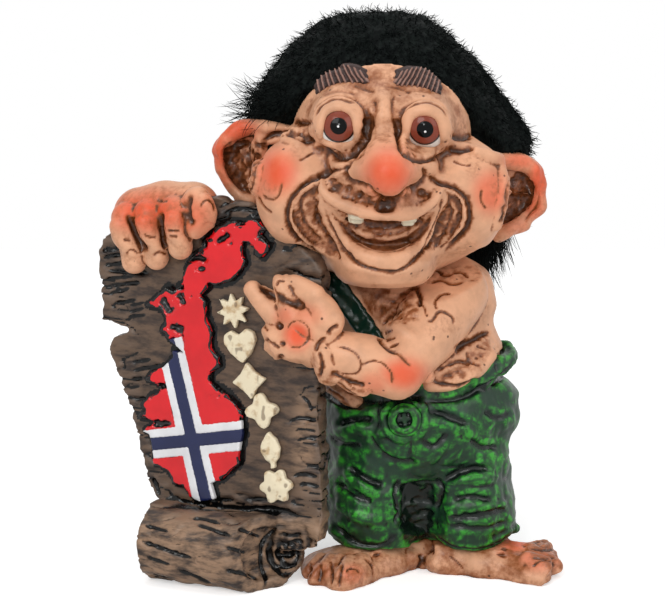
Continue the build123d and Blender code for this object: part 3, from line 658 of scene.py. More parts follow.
# Clay laid on a ball, on the slab's face and on castings
def ball_of(node):
    """Centre and radius of an eyeball casting, in millimetres."""
    low, high = [np.array(corner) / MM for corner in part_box(node)]
    radius = (high[0] - low[0]) / 2
    return np.array(((low[0] + high[0]) / 2, high[1] - radius, (low[2] + high[2]) / 2)), radius


def on_ball(centre, radius, pixel):
    """Where a pixel's sight line meets a ball, or comes nearest to it."""
    line = sight_line(pixel)
    towards = centre - CAMERA_PLACE
    along = towards @ line
    nearest = CAMERA_PLACE + line * along
    gap = np.linalg.norm(nearest - centre)
    if gap >= radius:
        return centre + (nearest - centre) / gap * radius
    return nearest - line * math.sqrt(radius**2 - gap**2)


def slab_side():
    """A place on the slab's face and the way it faces, in millimetres."""
    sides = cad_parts["bark_slab"].data.polygons
    face = max(sides, key=lambda side: side.area * -side.normal.y)
    return np.array(face.center) / MM, np.array(face.normal)


def slab_rope(pixels, radii, lifts):
    """A rope of clay that lies over the slab's face, at heights spread evenly along it."""
    place, outward = slab_side()
    path = smooth_path(pixels, 3.0)
    heights = np.interp(np.linspace(0, 1, len(path)), np.linspace(0, 1, len(lifts)), lifts)
    spots = []
    for pixel, height in zip(path, heights):
        line = sight_line(pixel)
        reach = (place + outward * height - CAMERA_PLACE) @ outward / (line @ outward)
        spots.append(CAMERA_PLACE + line * reach)
    return beads(spots, radii)


def rope(tree, pixels, radii, lift=0.0, step=3.0):
    """A rope of clay laid on a casting along pixels."""
    return beads([on_tree(tree, pixel, lift) for pixel in smooth_path(pixels, step)], radii)


def ropes(tree, table, lift):
    """Ropes of clay on a casting, each from its pixels and its radii."""
    return [rope(tree, pixels, radii, lift) for pixels, radii in table]


# Head: casting and ears as one skin
# Lines and outlines in the tables are traced in pixels of the photograph
UPPER_LIDS = {
    "right": [
        (317, 140), (317, 127), (322, 113), (331, 106), (340, 104), (350, 107), (357, 115), (360, 127),
        (359, 140),
    ],
    "left": [
        (405, 142), (404, 127), (409, 116), (418, 109), (427, 107.5), (436, 111), (443, 120), (446, 132),
        (446, 143),
    ],
}
LOWER_LIDS = {
    "right": [(318, 136), (325, 141.5), (335, 145), (346, 145), (355, 141.5), (359, 135)],
    "left": [(406, 142), (413, 148), (423, 150.5), (434, 149.5), (442, 146), (446, 141)],
}
IRISES = {"right": (338.5, 125.5), "left": (424.7, 129.2)}
# Steps from the middle of the iris, in pixels
INNER_LID = [
    (-19.5, 12), (-18.6, 2), (-15.4, -10.5), (-8.5, -16.6), (0, -18.6), (8.5, -16.6), (15.4, -10.5),
    (18.6, 2), (19.5, 12),
]
TONGUE = [(349, 221), (366, 229), (385, 232), (404, 229), (420, 221)]
FOREHEAD = [
    (300, 118), (308, 96), (325, 84), (364, 72), (400, 72), (440, 86), (462, 104), (476, 142),
    (450, 150), (446, 112), (424, 101), (404, 107), (398, 150), (366, 140), (362, 112), (340, 98),
    (320, 105), (314, 140), (300, 134),
]
SMILE_LEFT = [
    (350, 162), (344, 169), (327, 172), (312, 180), (302, 187), (292, 198), (288, 210), (288, 222),
    (293, 235), (303, 245), (315, 254), (330, 262),
]
SMILE_RIGHT = [
    (423, 175), (436, 181), (452, 187), (464, 196), (469, 207), (469, 221), (463, 233), (452, 245),
    (443, 253),
]
UPPER_LIP = [
    (320, 178), (323, 190), (334, 200), (349, 207), (366, 212), (391, 214), (406, 214), (421, 210),
    (434, 200), (443, 188),
]
LOWER_LIP = [
    (325, 209), (334, 225), (347, 243), (364, 256), (385, 261), (405, 256), (421, 243), (432, 226),
    (440, 208),
]
MOUTH = [
    (337, 209), (346, 212), (366, 218), (391, 220), (406, 220), (421, 216), (434, 208), (421, 225),
    (406, 236), (391, 241), (375, 241), (357, 234), (345, 224),
]
MOUTH_SHADE = [
    (331, 207), (346, 213), (366, 219), (391, 221), (406, 221), (421, 217), (439, 207), (431, 223),
    (421, 235), (408, 244), (392, 249), (378, 249), (363, 244), (350, 233), (339, 220),
]
SMILE_VALLEY_LEFT = [
    (345, 166), (328, 175), (312, 183), (301, 192), (294, 204), (292, 219), (298, 235), (312, 248),
    (329, 257), (344, 262), (338, 248), (329, 230), (320, 208), (318, 190), (322, 178),
]
SMILE_VALLEY_RIGHT = [
    (427, 180), (444, 187), (457, 195), (464, 208), (464, 221), (457, 233), (446, 245), (432, 252),
    (424, 250), (434, 232), (442, 212), (446, 196), (440, 186),
]
LIP_SHADE = [
    (345, 172), (360, 188), (372, 194), (400, 196), (414, 186), (436, 190), (430, 203), (412, 209),
    (391, 211), (366, 208), (345, 201), (328, 190), (326, 178),
]
LEFT_CONCHA = [
    (240, 139), (229, 141), (223, 148), (222, 158), (225, 170), (232, 182), (241, 192), (251, 198),
    (256, 188), (259, 170), (264, 154), (271, 146), (262, 141),
]
RIGHT_CONCHA = [
    (507, 178), (517, 172), (529, 174), (535, 184), (535, 199), (525, 213), (510, 223), (497, 225),
    (499, 207), (504, 190),
]
FACE_GROOVES = [
    # pixels, width in pixels, depth in millimetres, paint
    ([(282, 132), (292, 134), (302, 138), (316, 143)], 3.4, 1.5, 1.0),
    ([(293, 121), (302, 123), (313, 123)], 2.6, 0.9, 0.9),
    ([(262, 143), (272, 136), (284, 134)], 3.0, 1.0, 0.9),
    ([(450, 135), (461, 137), (473, 135)], 3.0, 1.2, 1.0),
    ([(448, 149), (461, 150), (474, 147)], 3.0, 1.2, 1.0),
    ([(314, 118), (319, 107), (327, 101), (337, 98), (349, 100), (360, 102)], 1.8, 0.6, 0.75),
    ([(366, 108), (368, 120), (366, 136), (360, 147), (349, 155), (337, 156), (326, 151),
      (317, 143)], 3.4, 1.3, 1.0),
    ([(401, 133), (399, 120), (404, 109), (416, 103), (430, 102), (443, 109), (449, 121)], 1.8, 0.5, 0.7),
    ([(398, 118), (398, 134), (401, 146), (409, 156), (422, 160), (437, 158), (450, 151)], 3.2, 1.2, 1.0),
    ([(374, 96), (374, 111), (371, 126), (366, 140)], 3.4, 0.6, 0.42),
    ([(395, 91), (393, 106), (396, 124), (400, 140), (406, 152)], 2.8, 0.5, 0.42),
    ([(328, 158), (344, 161), (357, 157), (366, 150)], 2.4, 0.5, 0.5),
    ([(352, 160), (345, 168), (349, 180), (361, 184), (373, 189)], 2.2, 1.0, 0.9),
    ([(424, 166), (425, 178), (416, 186), (406, 190)], 2.2, 0.9, 0.8),
    ([(362, 184), (370, 188), (378, 195), (388, 199), (398, 197), (406, 190), (414, 186)], 2.0, 0.8, 0.95),
    (SMILE_LEFT, 3.0, 1.2, 1.0),
    (SMILE_RIGHT, 3.0, 1.2, 1.0),
    ([(306, 185), (296, 199), (294, 214), (300, 229), (310, 240), (322, 248)], 1.7, 0.6, 0.8),
    ([(313, 187), (302, 200), (303, 216), (311, 230), (325, 243)], 1.6, 0.55, 0.8),
    ([(318, 196), (316, 212), (324, 230), (336, 248)], 1.9, 0.7, 0.9),
    ([(452, 192), (459, 205), (458, 221), (447, 241), (438, 251)], 1.7, 0.6, 0.8),
    ([(449, 200), (451, 214), (444, 232), (433, 250)], 1.7, 0.6, 0.85),
    ([(443, 198), (440, 213), (433, 229), (425, 245)], 1.9, 0.7, 0.9),
    ([(322, 203), (330, 224), (339, 243), (348, 254), (361, 265), (380, 271), (396, 272), (410, 264),
      (425, 249), (436, 230), (444, 208)], 1.8, 0.8, 0.95),
    ([(282, 181), (279, 194), (274, 199), (266, 198), (260, 193)], 1.3, 0.4, 0.6),
    ([(257, 195), (264, 207), (273, 214)], 1.3, 0.35, 0.6),
    ([(299, 161), (315, 152)], 1.3, 0.35, 0.5),
    ([(482, 188), (481, 200), (487, 210)], 1.4, 0.4, 0.6),
    ([(451, 160), (463, 165), (473, 165)], 1.2, 0.3, 0.5),
    ([(352, 84), (366, 90), (376, 92)], 1.6, 0.3, 0.5),
    ([(384, 86), (398, 88), (412, 94)], 1.6, 0.3, 0.45),
    ([(404, 93), (418, 90), (436, 93)], 1.5, 0.3, 0.4),
    ([(320, 97), (334, 91), (348, 92), (358, 96)], 1.5, 0.35, 0.5),
]


EAR_ROPES = [
    # pixels, radii and lift in millimetres
    ([(262, 128), (248, 127), (236, 131), (226, 139)], (1.8, 2.2, 2.0), -0.7),
    ([(226, 139), (219, 149), (218, 161), (221, 174), (229, 186), (240, 196),
      (251, 201)], (1.6, 1.0, 0.9, 1.0, 1.3), -0.2),
    ([(498, 162), (512, 162), (525, 164), (534, 171)], (1.8, 2.1, 1.9), -0.7),
    ([(534, 171), (540, 182), (540, 193), (535, 205), (526, 217), (513, 228),
      (499, 235)], (1.9, 1.3, 1.3, 1.5, 1.9, 1.9), -0.4),
    ([(503, 192), (516, 192), (528, 194)], (0.9, 1.1, 0.8), 0.2),
    ([(240, 150), (246, 162), (245, 175)], (1.0, 1.2, 0.9), 0.1),
]
EAR_ROOT_ROPES = [
    ([(244, 127), (257, 127), (270, 127), (283, 129), (297, 133)], (1.7, 1.9, 1.5, 1.4, 1.5), 0.1),
    ([(262, 137), (259, 150), (260, 165), (258, 180), (254, 192)], (1.8, 2.2, 2.2, 1.8), -0.4),
    ([(250, 140), (249, 155), (250, 172), (250, 188)], (1.6, 2.0, 2.0, 1.6), -0.6),
    ([(476, 152), (488, 156), (500, 160), (510, 160)], (1.4, 1.6, 1.8, 1.8), 0.0),
    ([(500, 168), (502, 185), (500, 205), (496, 225)], (1.6, 2.0, 2.0, 1.6), -0.5),
    ([(268, 137), (279, 137), (290, 139), (300, 142)], (1.8, 1.9, 1.7, 1.6), 0.0),
]
EAR_WARPS = [
    # pairs of pixels, from and to, and the reach in pixels
    ([((551, 197), (545, 192)), ((549, 180), (545, 178)), ((540, 222), (532, 221)), ((523, 240), (518, 239)),
      ((500, 200), (500, 200)), ((505, 235), (505, 235))], 10),
    ([((209, 165), (214, 160)), ((214, 184), (221, 181)), ((222, 197), (230, 198)), ((222, 131), (223, 132)),
      ((245, 165), (245, 165)), ((262, 180), (262, 180))], 11),
]
HOLLOWS = [
    # outline, depth in millimetres, roughness
    (SMILE_VALLEY_LEFT, 1.5, 1.0), (SMILE_VALLEY_RIGHT, 1.4, 1.0), (LIP_SHADE, 0.5, 1.0), (MOUTH, 1.2, 1.2),
    (LEFT_CONCHA, 1.0, 1.6), (RIGHT_CONCHA, 1.0, 1.3),
]
FACE_SHADES = [
    # outline, paint
    (SMILE_VALLEY_LEFT, 0.72), (SMILE_VALLEY_RIGHT, 0.72), (LIP_SHADE, 0.6), (MOUTH_SHADE, 0.62),
    (LEFT_CONCHA, 0.9), (RIGHT_CONCHA, 0.85),
]
BROW_SHADES = [
    # outline, paint, softness, size of its patches, seed
    (FOREHEAD, 0.46, 6.0, 3.2, 23),
    ([(318, 66), (400, 54), (455, 72), (462, 100), (430, 98), (385, 92), (335, 98),
      (312, 98)], 0.5, 7.0, 3.0, 27),
    ([(366, 96), (381, 98), (379, 140), (368, 158), (360, 150), (366, 128)], 0.5, 5.0, 2.2, 24),
    ([(392, 90), (402, 96), (404, 126), (410, 156), (400, 152), (393, 120)], 0.45, 4.0, 2.2, 25),
]
UNDER_LIP = [(340, 219), (352, 233), (368, 243), (385, 246), (403, 243), (420, 233), (432, 217)]
FACE_DOTS = [
    # pixel, radii in pixels, depth in millimetres, paint
    ((385.5, 205.5), (10.5, 8.2), 1.9, 1.0), ((359, 195), (4.5, 4), 0.8, 0.9), ((349, 188),
    (3, 3), 0.5, 0.8),
    ((372, 203), (2.5, 2.5), 0.4, 0.7), ((421, 193), (5, 4), 0.6, 0.8),
]
NOSE_TIP = (388.5, 174.5)
NOSE_LIFT, NOSE_RADIUS = -2.85, 4.85
LOWER_LIP_MIDDLE = (385, 252)
# How much farther from the camera the tongue lies than the lower lip, in millimetres
TONGUE_BEHIND_LIP = 2.6
NOSE_WINGS = [((356, 172), (11, 10)), ((414, 173), (9, 10))]
FACE_BLUSH = [
    ((277, 172), (21, 24), 1.0), ((388, 173), (25, 27), 1.0), ((491, 192), (18, 22), 0.75),
    ((234, 129), (24, 15), 1.0), ((219, 150), (12, 26), 0.95), ((224, 174), (10, 18), 0.6),
    ((541, 178), (13, 26), 0.95), ((522, 160), (20, 10), 0.7), ((535, 206), (12, 18), 0.7),
    ((262, 188), (9, 12), 0.5), ((519, 228), (16, 12), 0.4),
]


class TROLL_OT_head(bpy.types.Operator):
    """Sculpts and paints the head, ears, lids and lips as one skin"""

    bl_idname = "troll.head"
    bl_label = "Head"

    def execute(self, context):
        sizes = context.scene.troll_sizes
        head_tree = node_tree("head_casting")
        ear_tree = node_tree("left_ear", "right_ear", "head_casting")
        lumps = [copied("head_skin", "head_casting", "left_ear", "right_ear")]
        for side in ("right", "left"):
            centre, radius = ball_of(f"{side}_eyeball")
            inner_lid = [np.array(IRISES[side]) + step for step in INNER_LID]
            for lid, radii, proud in ((UPPER_LIDS[side], (1.3, 1.7, 1.85, 1.7, 1.3), 0.1),
                                      (LOWER_LIDS[side], (0.9, 1.1, 0.9), 0.0),
                                      (inner_lid, (1.1, 1.25, 1.3, 1.25, 1.1), 0.3)):
                path = [on_ball(centre, radius + proud, pixel) for pixel in smooth_path(lid, 2.5)]
                lumps.append(beads(path, radii))
        lumps.append(beads([on_tree(head_tree, NOSE_TIP, NOSE_LIFT)], (NOSE_RADIUS,)))
        reach = np.linalg.norm(on_tree(head_tree, LOWER_LIP_MIDDLE) - CAMERA_PLACE) + TONGUE_BEHIND_LIP
        tongue = [CAMERA_PLACE + sight_line(pixel) * reach for pixel in smooth_path(TONGUE, 3)]
        lumps.append(beads(tongue, (2.2, 2.6, 2.7, 2.6, 2.2)))
        lumps.append(rope(head_tree, UPPER_LIP, (0.7, 1.3, 1.5, 1.6, 1.6, 1.5, 1.3, 0.7), 0.1))
        lumps.append(rope(head_tree, LOWER_LIP, (0.8, 1.7, 2.2, 2.3, 2.2, 1.7, 0.8), -0.2))
        side_tree = node_tree("left_ear", "right_ear", "head_casting", "fur_wig")
        lumps += [rope(ear_tree, pixels, radii, lift) for pixels, radii, lift in EAR_ROPES]
        lumps += [rope(side_tree, pixels, radii, lift) for pixels, radii, lift in EAR_ROOT_ROPES]
        clay = pressed("head_skin", lumps, sizes.skin_voxel * HEAD_COARSER, soft=2)
        for warp in EAR_WARPS:
            clay.warp(*warp)
        self.shape(clay)
        self.colour(clay)
        clay.done("skin", looks()["skin"], "head_casting", "left_ear", "right_ear")
        return {"FINISHED"}

    def shape(self, clay):
        for outline, depth, _ in HOLLOWS:
            clay.lift(-depth * clay.inside(outline, 0.0, 5.0))
        clay.look()
        for pixel, radius in NOSE_WINGS:
            wing = np.linalg.norm((clay.pixels - pixel) / radius, axis=1)
            clay.lift(0.7 * smooth_rise(-wing, -1.1, -0.2) * clay.facing)
        clay.soften(2, 0.4)
        for groove in FACE_GROOVES:
            clay.groove(*groove)
        clay.look()
        clay.groove(UNDER_LIP, 5.5, 0.5, 0.75)
        for dot in FACE_DOTS:
            clay.dot(*dot)
        clay.look()
        rough = np.zeros(len(clay.places))
        for outline, _, share in HOLLOWS:
            rough = np.maximum(rough, np.where(inside_outline(clay.pixels, outline), share, 0))
        lumpy = soft_noise(clay.places, 1.5, 11) + 0.6 * soft_noise(clay.places, 0.8, 12)
        clay.lift(lumpy * 0.28 * rough * clay.facing)
        clay.roughen((3.4, 13, 0.1), (1.3, 14, 0.035))
        clay.look()

    def colour(self, clay):
        for outline, paint in FACE_SHADES:
            clay.paint_inside(outline, paint, 4, 1.6, 21, 0.8, 0.4)
        for lid in LOWER_LIDS.values():
            away, _ = path_distance(clay.pixels, lid)
            patchy = 0.6 + 0.5 * soft_noise(clay.places, 1.1, 22)
            clay.paint("wash_and_shade", smooth_rise(-away, -6, -2) * patchy * 0.8 * clay.facing)
        for shade_area in BROW_SHADES:
            clay.paint_inside(*shade_area)
        clay.paint("wash_and_shade", 0.24 * smooth_rise(soft_noise(clay.places, 4.5, 26), 0.05, 0.8) * clay.facing)
        small = clay.paint_hollows(6, 0.02, 0.16, 0.8)
        clay.paint_hollows(40, 0.12, 0.7, 0.75)
        clay.painted["wash_and_shade"] *= 1 - 0.6 * smooth_rise(-small, 0.03, 0.14)
        # Darker towards the back of the head
        clay.paint("wash_and_shade", 0.2 * smooth_rise(clay.places[:, 1], -12, 4))
        clay.blush(FACE_BLUSH)


# Brows: ridges combed slantwise
BROW_LINES = [
    # side, pixels, height in pixels
    ("right", [(319, 86), (328, 79), (340, 75), (353, 74), (365, 77)], 18),
    ("left", [(398, 78), (410, 77), (424, 80), (438, 87)], 19),
]
BROW_ROPES = [
    # pixels below the line, radii in millimetres
    (-5, (1.0, 1.5, 1.6, 1.3, 0.8)), (1, (1.2, 1.7, 1.7, 1.5, 1.1)), (6, (0.9, 1.2, 1.3, 1.1, 0.8)),
]
BROW_HAIRS = 10


class TROLL_OT_brows(bpy.types.Operator):
    """Models the combed brows"""

    bl_idname = "troll.brows"
    bl_label = "Brows"

    def execute(self, context):
        tree = node_tree("head_casting")
        for side, line, height in BROW_LINES:
            middle = smooth_path(line, 1.2)
            lumps = [rope(tree, [(x, y + drop) for x, y in line], radii, -0.55, 2)
                     for drop, radii in BROW_ROPES]
            clay = pressed(f"{side}_brow", lumps, BROW_VOXEL, soft=2)
            for share in np.linspace(0.02, 0.98, BROW_HAIRS):
                x, y = middle[int(share * (len(middle) - 1))]
                half = height * (0.3 + 0.2 * math.sin(math.pi * share))
                slant = half * (0.15 + 0.6 * share) if side == "right" else -half * (0.75 - 0.5 * share)
                hair = [(x - slant, y - half), (x, y + 1), (x + slant, y + half)]
                clay.groove(hair, 0.9, -0.5, taper=0.0, ragged=0.2, step=2)
                away, _ = path_distance(clay.pixels, smooth_path(hair, 2))
                clay.paint("ridge", np.exp(-(away / 1.1) ** 2))
            clay.look()
            clay.roughen((0.9, 31, 0.08))
            clay.look()
            clay.paint("ridge", smooth_rise(-clay.hollow(5), 0.04, 0.16) * 0.7)
            clay.done("brow", looks()["brow"], f"{side}_eyebrow")
        return {"FINISHED"}


# Eyes: ball, domed iris with a dark rim, domed pupil with a painted white highlight
EYE_AIMS = [
    # side, pixel at the iris, pixel at the painted highlight
    ("right", (338.5, 126), (338.2, 126.5)), ("left", (425, 129.5), (425.2, 131.5)),
]
# Half width of each painted round and how far it stands out of the ball, in millimetres; the last is the
# painted highlight
RIM, IRIS, PUPIL, PAINTED_GLINT = (3.75, 0.08), (3.4, 0.13), (1.9, 0.2), (0.3, 0.27)


def ball_cap(name, centre, radius, aim, size):
    """A closed lens on a ball, round the aimed place."""
    half_width, proud = size
    radius += proud
    towards = Vector(aim - centre).normalized()
    turn = Vector((0, 0, 1)).rotation_difference(towards)
    deselect()
    bpy.ops.mesh.primitive_uv_sphere_add(segments=64, ring_count=96, radius=radius * MM)
    cap = bpy.context.active_object
    cap.name = name
    level = math.sqrt(radius**2 - half_width**2) * MM
    bpy.ops.object.mode_set(mode="EDIT")
    bpy.ops.mesh.select_all(action="SELECT")
    bpy.ops.mesh.bisect(plane_co=(0, 0, level), plane_no=(0, 0, 1), clear_inner=True, use_fill=True,
                        threshold=1e-7)
    bpy.ops.object.mode_set(mode="OBJECT")
    place = turn.to_matrix().to_4x4()
    place.translation = Vector(centre) * MM
    cap.data.transform(place)
    return cap


class TROLL_OT_eyes(bpy.types.Operator):
    """Models the eyeballs with their domed irises and pupils"""

    bl_idname = "troll.eyes"
    bl_label = "Eyes"

    def execute(self, context):
        paints = looks()
        for side, pixel, dot in EYE_AIMS:
            centre, radius = ball_of(f"{side}_eyeball")
            deselect()
            bpy.ops.mesh.primitive_uv_sphere_add(segments=64, ring_count=48, radius=radius * MM,
                                                 location=Vector(centre) * MM)
            bpy.ops.object.transform_apply(location=True, rotation=False, scale=False)
            ball = bpy.context.active_object
            ball.name = f"{side}_eye"
            dress(ball, "eye_white", paints["eye_white"], f"{side}_eyeball")
            aim = on_ball(centre, radius, pixel)
            dress(ball_cap(f"{side}_iris_rim", centre, radius, aim, RIM), "pupil", paints["rim"])
            iris = ball_cap(f"{side}_iris_dome", centre, radius, aim, IRIS)
            dress(iris, "iris", paints["iris"], f"{side}_iris")
            pupil = ball_cap(f"{side}_pupil_dome", centre, radius, aim, PUPIL)
            dress(pupil, "pupil", paints["pupil"], f"{side}_pupil")
            # Painted highlight: a white glint on the pupil
            glint = ball_cap(f"{side}_painted_eye_glint", centre, radius, on_ball(centre, radius, dot), PAINTED_GLINT)
            dress(glint, "eye_white", paints["dot"])
        return {"FINISHED"}


# Pixel at each tooth's lower edge, and its width in pixels
TOOTH_EDGES = [(357, 219, 7), (408, 221, 8)]


class TROLL_OT_teeth(bpy.types.Operator):
    """Models the two worn teeth"""

    bl_idname = "troll.teeth"
    bl_label = "Teeth"

    def execute(self, context):
        tree = node_tree("teeth", "head_casting")
        lumps = []
        for x, y, wide in TOOTH_EDGES:
            for half, drop, radius, lift in ((0.5, -3, 1.0, 0.3), (0.35, 1, 0.95, 0.35)):
                line = [(x - wide * half, y + drop), (x + wide * half, y + drop)]
                lumps.append(rope(tree, line, (radius, radius), lift, 1.5))
        lumps.append(copied("teeth_block", "teeth"))
        clay = pressed("worn_teeth", lumps, TOOTH_VOXEL, soft=3)
        clay.roughen((1.2, 41, 0.1))
        clay.paint_hollows(8, 0.02, 0.2, 1.0)
        clay.done("tooth", looks()["tooth"], "teeth")
        return {"FINISHED"}


# Body: torso, arms and hands as one skin
FIST_ROPES = [
    # pixels, radii and heights over the slab's face in millimetres
    ([(250, 290), (258, 298), (267, 307), (277, 318)], (1.6, 2.3, 2.6, 2.8), (1.6, 2.2, 2.6, 3.0)),
    ([(281, 281), (291, 281), (304, 286), (316, 294)], (1.4, 1.7, 2.0, 2.2), (2.2, 3.4)),
    ([(281, 285), (291, 288), (303, 292), (314, 299), (323, 309),
      (328, 321)], (1.3, 2.0, 2.4, 2.8, 3.4, 4.0), (1.4, 2.0, 2.6, 3.2, 3.8, 4.2)),
    ([(300, 326), (312, 324), (324, 330)], (4.2, 4.4, 4.0), (3.2, 3.8)),
    ([(263, 290), (276, 298), (290, 305), (305, 309)], (1.2, 1.6, 1.6, 1.4), (0.4, 0.6)),
    ([(275, 330), (272, 341), (276, 352)], (1.9, 2.0, 1.7), (2.4, 2.6)),
]
BODY_ROPES = [
    # pixels, radii in millimetres
    ([(119, 226), (122, 238), (131, 250), (138, 256)], (2.4, 2.3, 2.0, 1.5)),
    ([(145, 222), (149, 236), (156, 248), (160, 252)], (2.4, 2.3, 1.9, 1.5)),
    ([(173, 218), (175, 231), (181, 242), (184, 245)], (2.6, 2.5, 2.0, 1.5)),
    ([(203, 203), (207, 213), (208, 222)], (2.6, 2.5, 1.9)),
    ([(440, 378), (452, 371), (464, 366)], (1.5, 1.9, 1.4)),
    ([(470, 356), (482, 352), (490, 346)], (1.4, 1.8, 1.3)),
    ([(384, 326), (398, 330), (412, 338)], (1.4, 2.0, 1.6)),
]
WAIST_ROPES = [
    ([(322, 354), (325, 367), (333, 380), (345, 392), (357, 400)], (2.2, 2.8, 3.0, 2.8, 2.2)),
    ([(340, 376), (352, 384), (364, 389)], (2.0, 2.2, 1.8)),
    ([(430, 384), (446, 383), (462, 377), (478, 367), (490, 355)], (1.9, 2.2, 2.3, 2.2, 1.8)),
    ([(428, 377), (440, 371), (452, 366)], (1.6, 2.0, 1.6)),
]
BODY_WARPS = [
    # pairs of pixels, from and to, and the reach in pixels
    ([((252, 342), (264, 343)), ((257, 362), (269, 356)), ((275, 374), (283, 364)), ((295, 376),
      (299, 365)),
      ((296, 340), (296, 340)), ((318, 340), (318, 340)), ((330, 360), (330, 360))], 12),
    ([((279, 266), (279, 275)), ((272, 274), (276, 280)), ((300, 290), (300, 290)), ((285, 320),
      (285, 320)),
      ((255, 300), (255, 300))], 9),
    ([((207, 236), (207, 225)), ((207, 205), (207, 205)), ((180, 240), (180, 240))], 10),
]
FINGER_PITS = [(279.5, 326), (282, 343.5), (280.5, 357.5)]
CRUMPLED_SKIN = [
    # outline, strength
    ([(427, 378), (433, 366), (452, 352), (470, 342), (492, 330), (494, 352), (482, 380), (440, 390)], 1.0),
    ([(316, 350), (330, 370), (372, 390), (366, 410), (316, 410)], 1.2),
    ([(365, 288), (400, 290), (420, 282), (422, 322), (384, 330), (372, 318)], 1.2),
    ([(424, 262), (484, 262), (486, 284), (424, 286)], 0.7),
]
BODY_SHADES = [
    # outline, paint, softness, size of its patches, seed
    ([(108, 184), (229, 184), (232, 240), (200, 262), (108, 275)], 0.3, 4.0, 3.0, 57),
    ([(350, 280), (392, 288), (392, 310), (382, 326), (372, 322)], 0.65, 4.0, 1.6, 60),
    ([(310, 345), (330, 371), (372, 390), (366, 412), (310, 412)], 0.55, 4.0, 2.0, 59),
]
BODY_BLUSH = [
    ((297, 335), (14, 15), 1.0), ((404, 374), (24, 16), 0.95), ((148, 211), (44, 22), 1.0),
    ((188, 214), (24, 20), 0.75), ((213, 200), (13, 14), 0.45), ((286, 316), (12, 10), 0.5),
    ((305, 316), (18, 12), 0.45), ((375, 383), (16, 12), 0.5),
]
BODY_GROOVES = [
    ([(258, 282), (268, 291), (280, 298), (292, 303), (306, 305)], 4.2, 0.8, 1.0),
    ([(276, 287), (279, 281), (286, 281)], 1.2, 0.4, 0.8),
    ([(265, 338), (272, 343), (280, 349)], 1.4, 0.5, 0.8),
    ([(263, 325), (268, 331)], 1.4, 0.4, 0.7),
    ([(327, 335), (332, 329), (340, 325)], 1.8, 0.7, 0.9),
    ([(315, 352), (318, 344), (327, 337)], 1.8, 0.6, 0.85),
    ([(286, 332), (291, 323), (300, 321), (308, 328), (308, 339), (300, 347), (290, 346),
      (285, 338)], 1.1, 0.3, 0.35),
    ([(333, 346), (346, 348), (356, 354), (361, 364), (357, 373), (346, 374), (333, 370)], 1.2, 0.4, 0.5),
    ([(361, 367), (366, 363), (376, 361), (386, 366), (392, 376), (391, 387)], 1.2, 0.4, 0.5),
    ([(396, 351), (403, 358), (412, 367)], 1.4, 0.4, 0.6),
    ([(379, 330), (381, 341), (389, 349), (399, 353)], 2.2, 0.9, 0.95),
    ([(381, 327), (391, 316), (404, 309)], 2.0, 0.6, 0.8),
    ([(384, 334), (393, 330)], 1.2, 0.4, 0.7),
    ([(386, 341), (396, 337)], 1.2, 0.4, 0.7),
    ([(390, 347), (399, 343)], 1.2, 0.4, 0.7),
    ([(452, 294), (442, 294), (435, 302), (438, 311)], 1.2, 0.45, 0.7),
    ([(426, 319), (432, 321), (440, 311), (452, 317), (454, 326)], 1.3, 0.5, 0.85),
    ([(417, 300), (424, 307), (427, 318)], 1.2, 0.4, 0.6),
    ([(454, 352), (466, 343), (480, 336), (491, 331)], 3.0, 1.2, 1.0),
    ([(436, 372), (448, 365), (462, 361), (470, 366)], 1.8, 0.6, 0.85),
    ([(430, 381), (444, 384), (462, 386), (480, 378)], 2.4, 0.8, 1.0),
    ([(466, 350), (470, 362), (482, 366)], 1.4, 0.5, 0.8),
    ([(476, 345), (487, 350)], 1.4, 0.5, 0.8),
    ([(318, 350), (322, 365), (318, 380)], 2.4, 0.8, 0.9),
    ([(330, 371), (342, 378), (355, 383), (366, 386)], 2.4, 0.9, 1.0),
    ([(325, 385), (335, 393), (346, 400)], 1.5, 0.4, 0.8),
    ([(336, 380), (345, 389), (355, 396)], 1.4, 0.4, 0.8),
    ([(347, 382), (355, 390)], 1.4, 0.4, 0.8),
    ([(414, 285), (420, 296), (418, 308)], 2.6, 0.9, 1.0),
    ([(436, 268), (446, 275), (460, 272), (470, 279)], 1.6, 0.5, 0.7),
    ([(429, 283), (440, 280), (452, 284), (466, 281)], 1.5, 0.4, 0.7),
    # right hand, laid over the slab's edge
    ([(127, 213), (132, 226), (139, 242), (147, 253)], 2.8, 1.2, 1.0),
    ([(161, 211), (161, 226), (164, 243), (168, 251)], 2.3, 1.1, 1.0),
    ([(191, 193), (188, 206), (188, 218), (193, 227)], 3.4, 1.3, 1.0),
    ([(166, 231), (181, 231)], 1.1, 0.4, 0.9),
    ([(168, 236.5), (178, 237)], 1.1, 0.4, 0.8),
    ([(143, 234), (150, 237), (157, 237)], 1.1, 0.4, 0.8),
    ([(123, 240), (131, 240)], 1.1, 0.4, 0.8),
    ([(157, 199), (161, 201), (168, 200)], 1.2, 0.4, 0.8),
    ([(200, 209), (203, 202), (209, 200), (214, 205), (215, 213)], 1.2, 0.5, 0.85),
    ([(127, 256), (128, 251), (134, 250), (139, 254)], 1.1, 0.4, 0.75),
    ([(152, 256), (160, 252), (168, 255)], 1.1, 0.4, 0.8),
]


